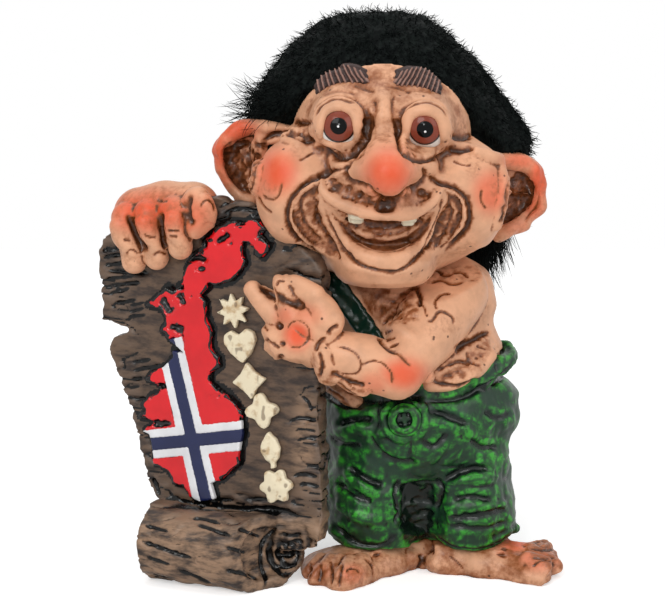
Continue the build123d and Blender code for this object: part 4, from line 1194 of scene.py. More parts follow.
class TROLL_OT_body(bpy.types.Operator):
    """Sculpts and paints the torso, both arms and both hands as one skin"""

    bl_idname = "troll.body"
    bl_label = "Body"

    nodes = ("torso_casting", "left_upper_arm", "left_forearm", "left_hand",
             "right_upper_arm", "right_forearm", "right_hand")

    def execute(self, context):
        sizes = context.scene.troll_sizes
        tree = node_tree(*self.nodes, "bark_slab", "map_field_red")
        lumps = [copied("body_skin", *self.nodes)]
        lumps += [slab_rope(*row) for row in FIST_ROPES]
        lumps += ropes(tree, BODY_ROPES, -1.4)
        waist = node_tree(*self.nodes, "waistband", "trousers_casting")
        lumps += ropes(waist, WAIST_ROPES, -0.7)
        clay = pressed("body_skin", lumps, sizes.skin_voxel, soft=3)
        for warp in BODY_WARPS:
            clay.warp(*warp)
        for groove in BODY_GROOVES:
            clay.groove(*groove)
        clay.look()
        for pixel in FINGER_PITS:
            clay.dot(pixel, (3.2, 3), 0.8, 1.0)
        clay.look()
        self.colour(clay)
        clay.done("skin", looks()["skin"], *self.nodes)
        return {"FINISHED"}

    def colour(self, clay):
        crumpled = np.zeros(len(clay.places))
        for outline, share in CRUMPLED_SKIN:
            crumpled = np.maximum(crumpled, clay.inside(outline, 0, 5) * share)
        rumple = soft_noise(clay.places, 2.0, 51) + 0.6 * soft_noise(clay.places, 0.9, 52)
        clay.lift(rumple * 0.3 * crumpled)
        clay.roughen((3.2, 53, 0.12), (1.2, 54, 0.03))
        clay.look()
        patchy = 0.6 + 0.5 * soft_noise(clay.places, 1.5, 55)
        clay.paint("wash_and_shade", crumpled * 0.6 * patchy)
        for shade_area in BODY_SHADES:
            clay.paint_inside(*shade_area)
        clay.paint("wash_and_shade", 0.2 * smooth_rise(soft_noise(clay.places, 4.5, 58), 0.05, 0.8) * clay.facing)
        small = clay.paint_hollows(6, 0.02, 0.15, 0.8)
        clay.paint_hollows(40, 0.12, 0.7, 0.75)
        clay.painted["wash_and_shade"] *= 1 - 0.5 * smooth_rise(-small, 0.03, 0.14)
        # Darker in patches where the skin turns away from the camera or lies farther back
        seen = clay.facing * np.where(clay.places[:, 1] < 8, 1.0, 0.0)
        clay.paint("wash_and_shade", 0.3 * (1 - seen) * smooth_rise(soft_noise(clay.places, 4.0, 56), -0.4, 0.6))
        clay.blush(BODY_BLUSH)


# Feet
TOE_ROPES = [
    ([(320, 558), (306, 572)], (1.6, 1.3)), ([(330, 560), (316, 576)], (1.7, 1.4)),
    ([(340, 560), (327, 578)], (1.8, 1.5)), ([(350, 562), (338, 581)], (1.9, 1.6)),
    ([(362, 562), (352, 579)], (2.3, 2.1)), ([(530, 548), (548, 543)], (1.6, 1.3)),
    ([(530, 553), (552, 549)], (1.7, 1.4)), ([(528, 560), (547, 565)], (2.2, 2.0)),
]
FOOT_WARP = [
    ((575, 577), (563, 571)), ((572, 562), (562, 558)), ((558, 586), (548, 583)),
    ((560, 541), (555, 538)), ((520, 555), (520, 555)), ((530, 575), (530, 575)),
]
TOE_SHADES = [
    [(300, 560), (345, 560), (345, 590), (300, 590)], [(530, 535), (566, 540), (566, 575), (536, 560)],
]
FOOT_BLUSH = [
    ((352, 574), (14, 10), 0.55), ((318, 571), (16, 8), 0.45), ((515, 540), (20, 16), 0.85),
    ((540, 558), (26, 14), 0.6),
]
FOOT_GROOVES = [
    ([(309, 561), (310, 571), (307, 580)], 1.5, 0.7, 0.9),
    ([(320, 561), (321, 571), (319, 583)], 1.5, 0.7, 0.9),
    ([(331, 561), (332, 571), (330, 586)], 1.6, 0.8, 0.95),
    ([(342, 561), (341, 572), (339, 588)], 1.8, 0.8, 0.95),
    ([(346, 574), (349, 569), (356, 569), (360, 574)], 1.2, 0.4, 0.8),
    ([(364, 558), (372, 566), (374, 578)], 1.5, 0.4, 0.6),
    ([(535, 541), (541, 546), (551, 547)], 1.2, 0.4, 0.7),
    ([(524, 539), (536, 541), (548, 539), (558, 541)], 1.5, 0.6, 0.9),
    ([(528, 547), (541, 550), (556, 549)], 1.5, 0.6, 0.9),
    ([(530, 557), (542, 558), (558, 556)], 1.5, 0.6, 0.9),
    ([(532, 567), (542, 560), (552, 562), (554, 569)], 1.2, 0.4, 0.8),
    ([(448, 555), (456, 561), (464, 570)], 1.4, 0.4, 0.7),
    ([(420, 552), (422, 562), (416, 572)], 2.2, 0.8, 1.0),
]


class TROLL_OT_feet(bpy.types.Operator):
    """Sculpts and paints both bare feet"""

    bl_idname = "troll.feet"
    bl_label = "Feet"

    def execute(self, context):
        sizes = context.scene.troll_sizes
        tree = node_tree("left_foot", "right_foot", "trousers_casting", "bark_roll")
        lumps = [copied("feet_skin", "left_foot", "right_foot")]
        lumps += ropes(tree, TOE_ROPES, -1.3)
        lumps.append(rope(tree, [(410, 558), (424, 560), (440, 564)], (2.4, 2.8, 2.4), -1.6))
        clay = pressed("feet_skin", lumps, sizes.skin_voxel * FEET_FINER, soft=2)
        clay.warp(FOOT_WARP, 13)
        for groove in FOOT_GROOVES:
            clay.groove(*groove)
        clay.roughen((2.6, 61, 0.16), (1.1, 62, 0.05))
        clay.places[:, 2] = np.maximum(clay.places[:, 2], 0.0)
        clay.look()
        clay.paint_hollows(6, 0.02, 0.15, 0.85)
        clay.paint_hollows(30, 0.1, 0.6, 0.7)
        # Darker towards the floor
        low = smooth_rise(-clay.places[:, 2], -2.6, -0.2)
        patchy = 0.6 + 0.5 * soft_noise(clay.places, 2.2, 63)
        clay.paint("wash_and_shade", low * 0.75 * patchy)
        right = smooth_rise(-clay.pixels[:, 0], -425, -395)
        clay.paint("wash_and_shade", (0.5 - 0.16 * right) * smooth_rise(soft_noise(clay.places, 3.0, 64), -1.0, 0.3))
        # Painted shade under the trouser hems, darkening the feet up towards them
        clay.paint("wash_and_shade", 0.6 * smooth_rise(clay.places[:, 2], 6, 13))
        for toes in TOE_SHADES:
            clay.paint_inside(toes, 0.5, 5.0, 1.6, 65)
        clay.blush(FOOT_BLUSH)
        clay.done("skin", looks()["skin"], "left_foot", "right_foot")
        return {"FINISHED"}


# Trousers with their waistband and tab
TROUSER_ROPES = [
    ([(322, 392), (320, 420), (320, 450), (321, 480), (324, 510)], (1.6, 2.2, 2.2, 2.2, 1.8)),
    ([(338, 432), (360, 428), (384, 432)], (1.6, 2.2, 1.4)),
    ([(430, 422), (452, 426), (474, 434)], (1.5, 2.2, 1.5)),
    ([(350, 474), (372, 491), (392, 494)], (1.6, 2.3, 1.5)),
    ([(445, 489), (465, 481), (494, 478)], (1.6, 2.4, 1.6)),
    ([(450, 510), (474, 508), (504, 504)], (1.5, 2.3, 1.6)),
    ([(340, 505), (362, 517), (390, 518)], (1.5, 2.2, 1.5)),
    ([(335, 528), (352, 541), (378, 545), (398, 533)], (1.3, 1.6, 1.6, 1.3)),
    ([(434, 530), (452, 543), (482, 545), (512, 533)], (1.3, 1.6, 1.6, 1.3)),
    ([(420, 394), (450, 392), (480, 382), (508, 360)], (1.4, 1.7, 1.7, 1.4)),
]
TROUSER_WARP = [
    ((508, 352), (514, 354)), ((513, 384), (525, 386)), ((513, 413), (519, 417)), ((514, 440), (512, 441)),
    ((515, 480), (511, 480)), ((514, 532), (519, 527)), ((480, 385), (484, 387)), ((480, 440), (480, 440)),
]
# Painted shade in the gap between the legs
CROTCH_SHADE = [(392, 482), (434, 480), (428, 505), (424, 542), (402, 542), (398, 508)]
RUBBED_RINGS = [
    # middle pixel, radius in pixels
    ((357, 501), 14), ((359, 439), 14), ((407, 456), 10), ((486, 491), 11), ((468, 430), 12),
    ((380, 520), 9),
    ((500, 450), 9), ((340, 470), 9),
]
# How much wider and deeper the folds are carved than they were traced
FOLD_WIDER, FOLD_DEEPER = 1.35, 1.15
BUTTON_MIDDLE = (404, 420)
BUTTON_HOLES = [(400, 416), (408, 415), (401, 424), (409, 423)]
TROUSER_GROOVES = [
    ([(424, 400), (445, 400), (464, 397), (482, 388), (498, 379), (508, 369), (515, 358)], 1.9, 0.9, 0.9),
    ([(318, 388), (330, 397), (345, 405), (366, 408)], 1.9, 0.8, 0.9),
    ([(337, 424), (355, 419), (374, 419)], 2.2, 0.9, 0.7),
    ([(431, 411), (451, 416), (469, 425)], 2.2, 0.9, 0.7),
    ([(421, 441), (434, 447), (448, 434)], 2.0, 0.8, 0.7),
    ([(328, 436), (342, 444), (362, 446)], 1.9, 0.6, 0.6),
    ([(347, 466), (367, 479), (384, 486)], 2.2, 0.9, 0.8),
    ([(336, 480), (350, 494), (372, 503)], 2.0, 0.7, 0.6),
    ([(443, 481), (459, 472), (476, 468), (493, 469)], 2.2, 0.9, 0.8),
    ([(452, 500), (470, 497), (494, 500)], 2.0, 0.8, 0.7),
    ([(446, 518), (468, 518), (488, 514), (508, 510)], 2.2, 0.9, 0.8),
    ([(448, 525), (481, 529), (511, 522)], 1.8, 0.7, 0.7),
    ([(470, 440), (484, 448), (500, 446)], 2.2, 0.8, 0.6),
    ([(484, 410), (498, 418), (512, 412)], 2.2, 0.7, 0.6),
    ([(332, 524), (345, 536), (362, 545), (384, 545), (401, 531)], 2.2, 0.8, 0.9),
    ([(432, 533), (451, 548), (481, 551), (505, 542), (517, 532)], 2.2, 0.8, 0.9),
    # the gap between the legs, pressed deep and darkened with painted shade
    ([(412, 482), (414, 498), (414, 515), (413, 534)], 8.0, 3.2, 1.0),
    ([(400, 478), (396, 495), (402, 512)], 2.0, 0.9, 0.8),
    ([(436, 478), (441, 492), (436, 508)], 2.0, 0.9, 0.8),
    ([(380, 452), (396, 461), (418, 463)], 2.0, 0.7, 0.7),
]


def round_line(middle, wide, high, count):
    """Pixels of a closed round line."""
    return [(middle[0] + wide * math.cos(turn), middle[1] + high * math.sin(turn))
            for turn in np.linspace(0, 2 * math.pi, count)]


class TROLL_OT_trousers(bpy.types.Operator):
    """Sculpts and paints the trousers, waistband, tab and button"""

    bl_idname = "troll.trousers"
    bl_label = "Trousers"

    def execute(self, context):
        sizes = context.scene.troll_sizes
        paints = looks()
        nodes = ("trousers_casting", "waistband", "button_tab")
        tree = node_tree(*nodes)
        lumps = [copied("trousers", *nodes)]
        lumps.append(rope(tree, round_line(BUTTON_MIDDLE, 20, 19, 40), (1.0, 1.0), 0.0, 2.5))
        lumps += ropes(tree, TROUSER_ROPES, -1.3)
        clay = pressed("trousers", lumps, sizes.cloth_voxel, soft=3)
        clay.warp(TROUSER_WARP, 15)
        clay.roughen((5.5, 71, 0.55), (2.4, 72, 0.25))
        clay.look()
        for pixels, width, depth, paint in TROUSER_GROOVES:
            clay.groove(pixels, width * FOLD_WIDER, depth * FOLD_DEEPER, paint)
        folds = np.abs(soft_noise(clay.places * (1, 1, 1.4), 7.0, 73))
        clay.lift(-0.35 * np.exp(-(folds / 0.16) ** 2))
        clay.roughen((1.1, 74, 0.1))
        clay.look()
        small = clay.paint_hollows(6, 0.03, 0.2, 0.8)
        clay.paint_hollows(40, 0.2, 0.9, 0.7)
        clay.paint("ridge", smooth_rise(-small, 0.02, 0.16))
        # Painted shade, black, in the gap between the legs
        clay.paint_inside(CROTCH_SHADE, 1.0, 4.0, 3.0, 76)
        for pixel, radius in RUBBED_RINGS:
            away = np.linalg.norm(clay.pixels - pixel, axis=1) * (1 + 0.12 * clay.rough)
            clay.paint("ridge", np.exp(-((away - radius) / 3.2) ** 2) * clay.facing)
        clay.done("trousers", paints["cloth"], *nodes)
        button_tree = node_tree("front_button", *nodes)
        ring = round_line(BUTTON_MIDDLE, 11, 10.5, 30)
        lumps = [copied("button", "front_button"), rope(button_tree, ring, (0.75, 0.75), 0.0, 2)]
        clay = pressed("button", lumps, BUTTON_VOXEL, soft=2)
        clay.roughen((1.5, 75, 0.12))
        for pixel in BUTTON_HOLES:
            clay.dot(pixel, (2, 2), 0.5, 1.0)
        clay.look()
        small = clay.paint_hollows(8, 0.02, 0.15, 1.0)
        clay.paint("ridge", smooth_rise(-small, 0.02, 0.1))
        clay.done("button", paints["button"], "front_button")
        return {"FINISHED"}


class TROLL_OT_brace(bpy.types.Operator):
    """Sculpts and paints the lacquered brace"""

    bl_idname = "troll.brace"
    bl_label = "Brace"

    def execute(self, context):
        clay = pressed("brace", [copied("brace", "brace_strap")], BRACE_VOXEL, soft=2)
        clay.roughen((2.0, 81, 0.3), (0.9, 82, 0.1), base=0.25)
        clay.look()
        clay.paint_hollows(8, 0.02, 0.2, 1.0)
        clay.done("brace", looks()["brace"], "brace_strap")
        return {"FINISHED"}


# Bark slab and roll
BARK_ROPES = [
    # pixels, radii and lift in millimetres
    ([(277, 271), (290, 266), (304, 262)], (0.9, 1.2, 0.8), -0.2),
    ([(214, 220), (226, 210), (242, 206), (260, 210), (272, 220), (281, 240)], (0.9, 1.3, 1.3, 1.0), -0.3),
    ([(105, 252), (115, 251), (126, 248)], (1.0, 1.3, 0.8), -0.5),
    ([(105, 275), (122, 274), (142, 278)], (1.0, 1.4, 0.8), -0.5),
]
BARK_WARP = [
    ((298, 545), (312, 546)), ((285, 556), (303, 560)), ((284, 578), (291, 580)), ((318, 512), (320, 512)),
    ((252, 560), (252, 560)), ((300, 505), (300, 505)),
]
SLAB_FACE = [
    (112, 225), (104, 250), (106, 270), (112, 310), (124, 330), (120, 360), (134, 400), (138, 430),
    (152, 470), (160, 505), (298, 512), (318, 500), (316, 420), (312, 380), (300, 330), (300, 270),
    (280, 240), (262, 212), (232, 206), (215, 222),
]
# The rings in the roll's end: their middle pixel and their half widths and heights
ROLL_MIDDLE = (289, 547)
ROLL_RINGS = [(19, 29), (11, 18), (4, 8)]
MAP = ("map_field_red", "map_cross_white", "map_cross_blue")
SIGNS = ("bone_star", "bone_heart", "bone_diamond", "bone_flower", "bone_leaf", "bone_blossom")
# Widest gap looked for between the bark and a raised piece, and what stands for a wider one, in millimetres
GAP_REACH, GAP_NONE = 3.0, 9.0
BARK_CRACKS = [
    ([(101, 250), (111, 250), (121, 247)], 1.8, 0.9), ([(103, 258), (113, 256), (124, 254)], 1.5, 0.8),
    ([(104, 265), (116, 264), (128, 260)], 1.6, 0.9), ([(106, 270), (128, 272), (152, 273)], 1.9, 1.1),
    ([(105, 279), (120, 278), (136, 276)], 1.6, 0.9), ([(107, 286), (124, 284), (142, 283)], 1.8, 1.0),
    ([(109, 293), (120, 291), (131, 288)], 1.5, 0.8), ([(114, 303), (125, 302), (137, 299)], 1.7, 0.9),
    ([(126, 318), (136, 316), (147, 315)], 1.6, 0.8), ([(127, 312), (136, 310), (145, 308)], 1.4, 0.7),
    ([(128, 306), (138, 304), (146, 302)], 1.2, 0.6), ([(131, 362), (141, 361), (152, 359)], 1.5, 0.8),
    ([(130, 371), (146, 368), (163, 365)], 1.6, 0.8), ([(131, 380), (143, 378)], 1.4, 0.7),
    ([(128, 388), (140, 386)], 1.4, 0.7), ([(134, 400), (146, 398)], 1.3, 0.6),
    ([(220, 217), (233, 210), (249, 210), (264, 215), (275, 229), (278, 243)], 1.6, 0.9),
    ([(286, 423), (300, 418), (318, 421)], 1.6, 0.7), ([(293, 431), (305, 429), (319, 433)], 1.0, 0.4),
    ([(295, 441), (308, 438), (319, 441)], 1.2, 0.5), ([(291, 477), (303, 474), (319, 478)], 1.7, 0.8),
    ([(297, 486), (307, 484), (320, 488)], 1.5, 0.7),
    ([(157, 508), (176, 505), (200, 506), (227, 508), (256, 509), (284, 511), (300, 516)], 2.4, 1.4),
    ([(150, 475), (156, 485), (160, 497)], 1.6, 0.8), ([(300, 395), (308, 402), (312, 412)], 1.4, 0.6),
    ([(188, 505), (210, 500), (236, 500)], 1.4, 0.6), ([(240, 500), (262, 499), (282, 502)], 1.4, 0.6),
]
ROLL_CRACKS = [
    ([(139, 540), (155, 546), (174, 553), (196, 560)], 1.8, 1.0),
    ([(194, 523), (217, 531), (233, 537)], 1.6, 0.8),
    ([(190, 518), (206, 519), (222, 524)], 1.4, 0.7), ([(224, 547), (236, 550), (248, 554)], 1.5, 0.7),
    ([(222, 570), (240, 573), (261, 580)], 1.6, 0.8), ([(144, 556), (158, 561), (172, 566)], 1.5, 0.7),
    ([(150, 574), (164, 579), (180, 583)], 1.5, 0.7), ([(143, 524), (156, 528), (170, 532)], 1.5, 0.7),
    ([(176, 570), (196, 577), (214, 586)], 1.4, 0.7), ([(236, 528), (250, 533), (262, 538)], 1.4, 0.7),
    ([(281, 524), (264, 541), (261, 563), (266, 581), (264, 592)], 1.7, 0.9),
    ([(276, 541), (286, 545), (297, 541), (305, 544)], 1.6, 0.9),
    ([(274, 552), (285, 556), (296, 553), (304, 557)], 1.6, 0.9),
    ([(276, 564), (287, 567), (299, 564)], 1.5, 0.8), ([(280, 533), (292, 536), (303, 533)], 1.4, 0.8),
]


class TROLL_OT_bark(bpy.types.Operator):
    """Carves and paints the bark slab and its roll"""

    bl_idname = "troll.bark"
    bl_label = "Bark"

    def execute(self, context):
        sizes = context.scene.troll_sizes
        tree = node_tree("bark_slab", "bark_roll")
        lumps = [copied("bark", "bark_slab", "bark_roll")]
        lumps += [rope(tree, pixels, radii, lift) for pixels, radii, lift in BARK_ROPES]
        clay = pressed("bark", lumps, sizes.bark_voxel, soft=3)
        clay.warp(BARK_WARP, 13)
        for wide, high in ROLL_RINGS:
            ring = [(ROLL_MIDDLE[0] + wide * math.sin(turn), ROLL_MIDDLE[1] - high * math.cos(turn))
                    for turn in np.linspace(0.3, 6.1, 12)]
            clay.groove(ring, 2.6, 1.0, 0.8, taper=0.3)
        clay.look()
        kept = clay.places.copy()
        stretched = clay.places * (0.45, 0.45, 1.5)
        grain = np.abs(soft_noise(stretched + soft_noise(clay.places, 6.0, 90)[:, None] * 0.8, 2.6, 91))
        roll_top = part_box("bark_roll")[1][2] / MM
        edge = self.edge_share(clay) * (0.75 - 0.5 * smooth_rise(roll_top - clay.places[:, 2], 0, 3))
        clay.lift(-(0.12 + 0.7 * edge) * np.exp(-(grain / 0.16) ** 2))
        clay.lift(soft_noise(clay.places * (0.6, 0.6, 1.4), 2.2, 92) * (0.12 + 0.4 * edge))
        clay.roughen((7.0, 93, 0.3))
        clay.look()
        for crack in BARK_CRACKS + ROLL_CRACKS:
            clay.groove(*crack, 1.0, taper=0.2)
        clay.look()
        near, away = self.gap_to(clay, node_tree(*MAP)), self.gap_to(clay, node_tree(*SIGNS))
        guard = smooth_rise(np.minimum(near, away), 0.2, 1.2)
        clay.places = kept + (clay.places - kept) * guard[:, None]
        clay.places[:, 2] = np.maximum(clay.places[:, 2], 0.0)
        clay.look()
        back = np.clip(-clay.normals @ slab_side()[1], 0, 1)
        clay.paint("wash_and_shade", (near < 1.05 + 0.3 * soft_noise(clay.places, 1.4, 94)).astype(float))
        small = clay.paint_hollows(6, 0.05, 0.22, 0.35 + 0.65 * edge)
        clay.paint("ridge", smooth_rise(-small, 0.03, 0.2) * (0.05 + 0.6 * edge))
        clay.paint("worn", smooth_rise(-clay.places[:, 2], -roll_top - 3, -roll_top + 4))
        clay.paint("worn", smooth_rise(-back, -0.75, -0.2) * 0.35)
        right = np.linalg.norm((clay.pixels - (305, 440)) / (16, 60), axis=1)
        clay.paint("worn", np.exp(-right**2))
        clay.done("bark", looks()["bark"], "bark_slab", "bark_roll")
        return {"FINISHED"}

    def edge_share(self, clay):
        """1 at the slab's rim and on the roll, 0 in the middle of the slab's face."""
        return 1 - clay.inside(SLAB_FACE, 4, 26)

    def gap_to(self, clay, tree):
        """Distance from each vertex to a raised piece, in millimetres."""
        gaps = np.full(len(clay.places), GAP_NONE)
        for i, place in enumerate(clay.places):
            hit = tree.find_nearest(Vector(place), GAP_REACH)
            if hit[0] is not None:
                gaps[i] = hit[3]
        return gaps


# Raised map and signs
MAP_FISSURES = [
    [(254, 232), (264, 235), (275, 241)], [(214, 244), (222, 239), (231, 234)], [(240, 218), (241, 227)],
    [(200, 234), (202, 242), (206, 250)], [(184, 260), (196, 258), (209, 260)],
    [(177, 271), (179, 282), (182, 293)],
    [(176, 292), (182, 300), (183, 307)], [(160, 295), (166, 306), (173, 315)],
    [(167, 325), (176, 328), (185, 327)],
    [(169, 339), (177, 343), (185, 344)], [(139, 392), (156, 387), (171, 385)],
    [(136, 422), (156, 423), (175, 425)],
    [(129, 367), (146, 366), (158, 363)], [(211, 371), (216, 384), (226, 396)],
    [(239, 414), (244, 424), (249, 432)],
]
# The coast's dark paint keeps this far from the white cross, in millimetres
COAST_TO_CROSS = 1.3
ENAMELS = [
    # node, slot, look
    ("map_field_red", "map_red", "red"), ("map_cross_white", "cross_white", "white"),
    ("map_cross_blue", "cross_blue", "blue"),
]


class TROLL_OT_relief(bpy.types.Operator):
    """Rounds and paints the raised map, cross and signs"""

    bl_idname = "troll.relief"
    bl_label = "Map and signs"

    def execute(self, context):
        voxel = context.scene.troll_sizes.relief_voxel
        paints = looks()
        slab_tree = node_tree("bark_slab")
        for node, slot, look in ENAMELS:
            clay = pressed(f"{node}_enamel", [copied(node, node)], voxel, soft=4)
            height = self.height_over(clay, slab_tree)
            clay.roughen((3.0, 101, 0.12), base=0.12)
            clay.look()
            if look == "red":
                wall = 1 - smooth_rise(np.abs(clay.normals @ slab_side()[1]), 0.3, 0.9)
                clay.lift(soft_noise(clay.places, 1.5, 104) * 0.55 * wall)
                clay.look()
                for fissure in MAP_FISSURES:
                    clay.groove(fissure, 3.1, 1.0, 1.0, taper=0.25, ragged=0.8, step=2)
                clay.dot((201, 269), (4, 3), 0.7, 1.0)
                clay.look()
                clay.paint("wash_and_shade", smooth_rise(-height, -1.15, -0.5))
                cross = node_tree("map_cross_white")
                far = np.array([cross.find_nearest(Vector(place), COAST_TO_CROSS)[0] is None
                                for place in clay.places])
                coast = -clay.hollow(30) + 0.16 * soft_noise(clay.places, 1.3, 105)
                clay.paint("wash_and_shade", smooth_rise(coast, 0.22, 0.32) * far)
            else:
                clay.paint("wash_and_shade", smooth_rise(-height, -0.6, -0.2))
            clay.done(slot, paints[look], node)
        for node in SIGNS:
            clay = pressed(f"{node}_ivory", [copied(node, node)], voxel * SIGNS_FINER, soft=3)
            height = self.height_over(clay, slab_tree)
            middle = clay.places.mean(axis=0)
            reach = np.linalg.norm(clay.places - middle, axis=1)
            raised = smooth_rise(height, 0.6, 1.2)
            clay.lift(0.35 * raised * smooth_rise(-reach, -4.2, 0.0) + 0.1)
            clay.roughen((1.4, 102, 0.12))
            clay.look()
            clay.paint_hollows(6, 0.015, 0.12, 0.8)
            clay.paint("wash_and_shade", smooth_rise(-height, -0.7, -0.1))
            clay.paint("wash_and_shade", smooth_rise(soft_noise(clay.places, 1.3, 103), 0.35, 0.75) * 0.5)
            clay.done("bone", paints["bone"], node)
        return {"FINISHED"}

    def height_over(self, clay, tree):
        """Height of each vertex over the slab, in millimetres."""
        return np.array([tree.find_nearest(Vector(place))[3] for place in clay.places])


# Wig: a felted cap under closed tapered strands
WIG_SIDE = [(474, 52), (490, 76), (504, 98), (515, 116), (524, 132), (528, 142)]
WIG_WARP = [
    ((497, 95), (500, 94)), ((510, 118), (515, 117)), ((525, 140), (532, 139)), ((460, 100), (460, 100)),
    ((480, 140), (480, 140)), ((470, 50), (470, 50)),
]
TUFTS = 3
# How many hairs the long lock and the stray ones have, the way they go and how far they stray from it
LOCK = (1600, (0.06, 0.0, -1.0), 0.15)
STRAYS = (300, (-1.0, 0.0, 0.1), 0.45)
# Where the lock and the stray hairs are rooted, in pixels
LOCK_COLUMN, LOCK_HALF_WIDTH, LOCK_TOP = 484, 22, 205
STRAY_COLUMN, STRAY_ROW, STRAY_HALF_HEIGHT = 290, 108, 20
# No strand grows on felt this close to the skin, in metres
BARE_GAP = 0.0009
# Spans along a strand and sides round it
SPANS, STRAND_SIDES = 4, 3


def unit_rows(ways):
    """Each way at length 1."""
    return ways / np.linalg.norm(ways, axis=1)[:, None]


class TROLL_OT_wig(bpy.types.Operator):
    """Makes the wig's felted cap and its strands"""

    bl_idname = "troll.wig"
    bl_label = "Wig"

    def execute(self, context):
        sizes = context.scene.troll_sizes
        paints = looks()
        tree = node_tree("fur_wig")
        side = rope(tree, WIG_SIDE, (0.8, 1.4, 1.9, 2.1, 2.0, 1.4))
        clay = pressed("wig_felt", [copied("wig_felt", "fur_wig"), side], FELT_VOXEL, soft=4)
        clay.warp(WIG_WARP, 20)
        clay.roughen((3.5, 111, 0.6), (1.6, 112, 0.35), base=-0.5)
        clay.look()
        places, normals = clay.places.copy(), clay.normals.copy()
        clay.done("fur", paints["fur"], "fur_wig")
        random = np.random.default_rng(121)
        head_middle = places.mean(axis=0)
        crown = np.array((head_middle[0] + 3.0, head_middle[1] - 4.0, places[:, 2].max()))
        skin = BVHTree.FromObject(bpy.data.objects["head_skin"], bpy.context.evaluated_depsgraph_get())
        bare = np.array([skin.find_nearest(Vector(place * MM), BARE_GAP)[0] is not None for place in places])
        places, normals = places[~bare], normals[~bare]
        for tuft in range(TUFTS):
            roots = self.roots(places, normals, sizes.strand_count, random)
            obj = self.strands(f"wig_strands_{tuft + 1}", *roots, crown, sizes, random)
            dress(obj, "fur", paints["fur"])
        pixels = photo_place(places)
        beside = np.abs(pixels[:, 0] - LOCK_COLUMN) < LOCK_HALF_WIDTH
        lock = np.flatnonzero(beside & (pixels[:, 1] > LOCK_TOP) & (normals[:, 2] > -0.9))
        level = np.abs(pixels[:, 1] - STRAY_ROW) < STRAY_HALF_HEIGHT
        edge = np.flatnonzero(level & (pixels[:, 0] < STRAY_COLUMN))
        for name, spots, (count, way, loose) in (("wig_lock", lock, LOCK), ("wig_stray_hairs", edge, STRAYS)):
            pick = random.choice(spots, count)
            obj = self.strands(name, places[pick], normals[pick], crown, sizes, random, way, loose)
            dress(obj, "fur", paints["fur"])
        return {"FINISHED"}

    def roots(self, places, normals, count, random):
        """Random places on the felt that a viewer could see, with their normals."""
        open_side = np.flatnonzero(normals[:, 2] > -0.75)
        pick = random.choice(open_side, count)
        return places[pick] + random.uniform(-0.4, 0.4, (count, 3)), normals[pick]

    def strands(self, name, roots, normals, crown, sizes, random, way=None, loose=0.0):
        """Tapered strands that grow from their roots, combed from the crown or along a given way."""
        count = len(roots)
        flow = roots - crown
        flow[:, 2] -= 10
        flow -= np.sum(flow * normals, axis=1)[:, None] * normals
        flow /= np.maximum(np.linalg.norm(flow, axis=1), 1e-6)[:, None]
        frizz = unit_rows(random.normal(0, 1, (count, 3)))
        low = roots[:, 2] < crown[2] - 38
        heading = unit_rows(flow * 0.75 + normals * 0.32 + frizz * np.where(low, 0.35, 0.6)[:, None])
        longest = sizes.strand_length / MM
        length = longest * random.uniform(0.25, 1.0, count) * np.where(low, 0.8, 0.42)
        curl = random.normal(0, 0.35, (count, 3))
        if way:
            heading = way + loose * random.normal(0, 1, (count, 3))
            length = longest * random.uniform(0.5, 2.1 - 2 * loose, count)
            curl *= loose * 2
        spine = [roots - normals * 0.3]
        for _ in range(SPANS):
            turn = random.normal(0, 0.05 if way else 0.22, (count, 3))
            heading = unit_rows(heading + curl * 0.5 + turn - (0, 0, 0.08))
            spine.append(spine[-1] + heading * (length / SPANS)[:, None])
        side = unit_rows(np.cross(heading, random.normal(0, 1, (count, 3))))
        return self.tubes(name, spine, side, np.cross(heading, side), sizes.strand_radius / MM)

    def tubes(self, name, spine, side, other, root_radius):
        """Three-sided tubes along spines, closed at the root and pointed at the tip."""
        corners = []
        for ring in range(SPANS):
            radius = root_radius * (1 - 0.55 * ring / SPANS)
            for corner in range(STRAND_SIDES):
                turn = 2 * math.pi * corner / STRAND_SIDES
                corners.append(spine[ring] + (side * math.cos(turn) + other * math.sin(turn)) * radius)
        corners.append(spine[-1])
        corners = np.array(corners).transpose(1, 0, 2).reshape(-1, 3)
        last = (SPANS - 1) * STRAND_SIDES
        tip = SPANS * STRAND_SIDES
        faces = [(0, 2, 1)]
        for ring in range(0, last, STRAND_SIDES):
            for corner in range(STRAND_SIDES):
                a, b = ring + corner, ring + (corner + 1) % STRAND_SIDES
                faces += [(a, b, b + STRAND_SIDES), (a, b + STRAND_SIDES, a + STRAND_SIDES)]
        faces += [(last, last + 1, tip), (last + 1, last + 2, tip), (last + 2, last, tip)]
        steps = (np.arange(len(side)) * (tip + 1))[:, None, None]
        mesh = bpy.data.meshes.new(name)
        mesh.from_pydata((corners * MM).tolist(), [], (np.array(faces)[None] + steps).reshape(-1, 3).tolist())
        mesh.update()
        return new_object(name, mesh)


# Stage: floor, lamps and camera
LAMPS = [
    # name, place in metres, size in metres, power in watts
    ("front lamp", (-0.45, -0.85, 0.8), 0.6, 5.6),
    ("glint lamp", (-0.1, -0.8, 0.36), 0.1, 0.7),
    ("side lamp", (0.75, -0.6, 0.6), 0.8, 3.4),
    ("top lamp", (0.0, 0.15, 1.1), 0.9, 3.4),
]
LAMPS_AIM = Vector((0, 0, 0.06))
FLOOR_WIDTH = 0.8
# How much the floor glows to the camera, and how bright the room is to rays that light the figure
FLOOR_GLOW, ROOM_LIGHT = 0.42, 0.36
SENSOR_WIDTH = 36


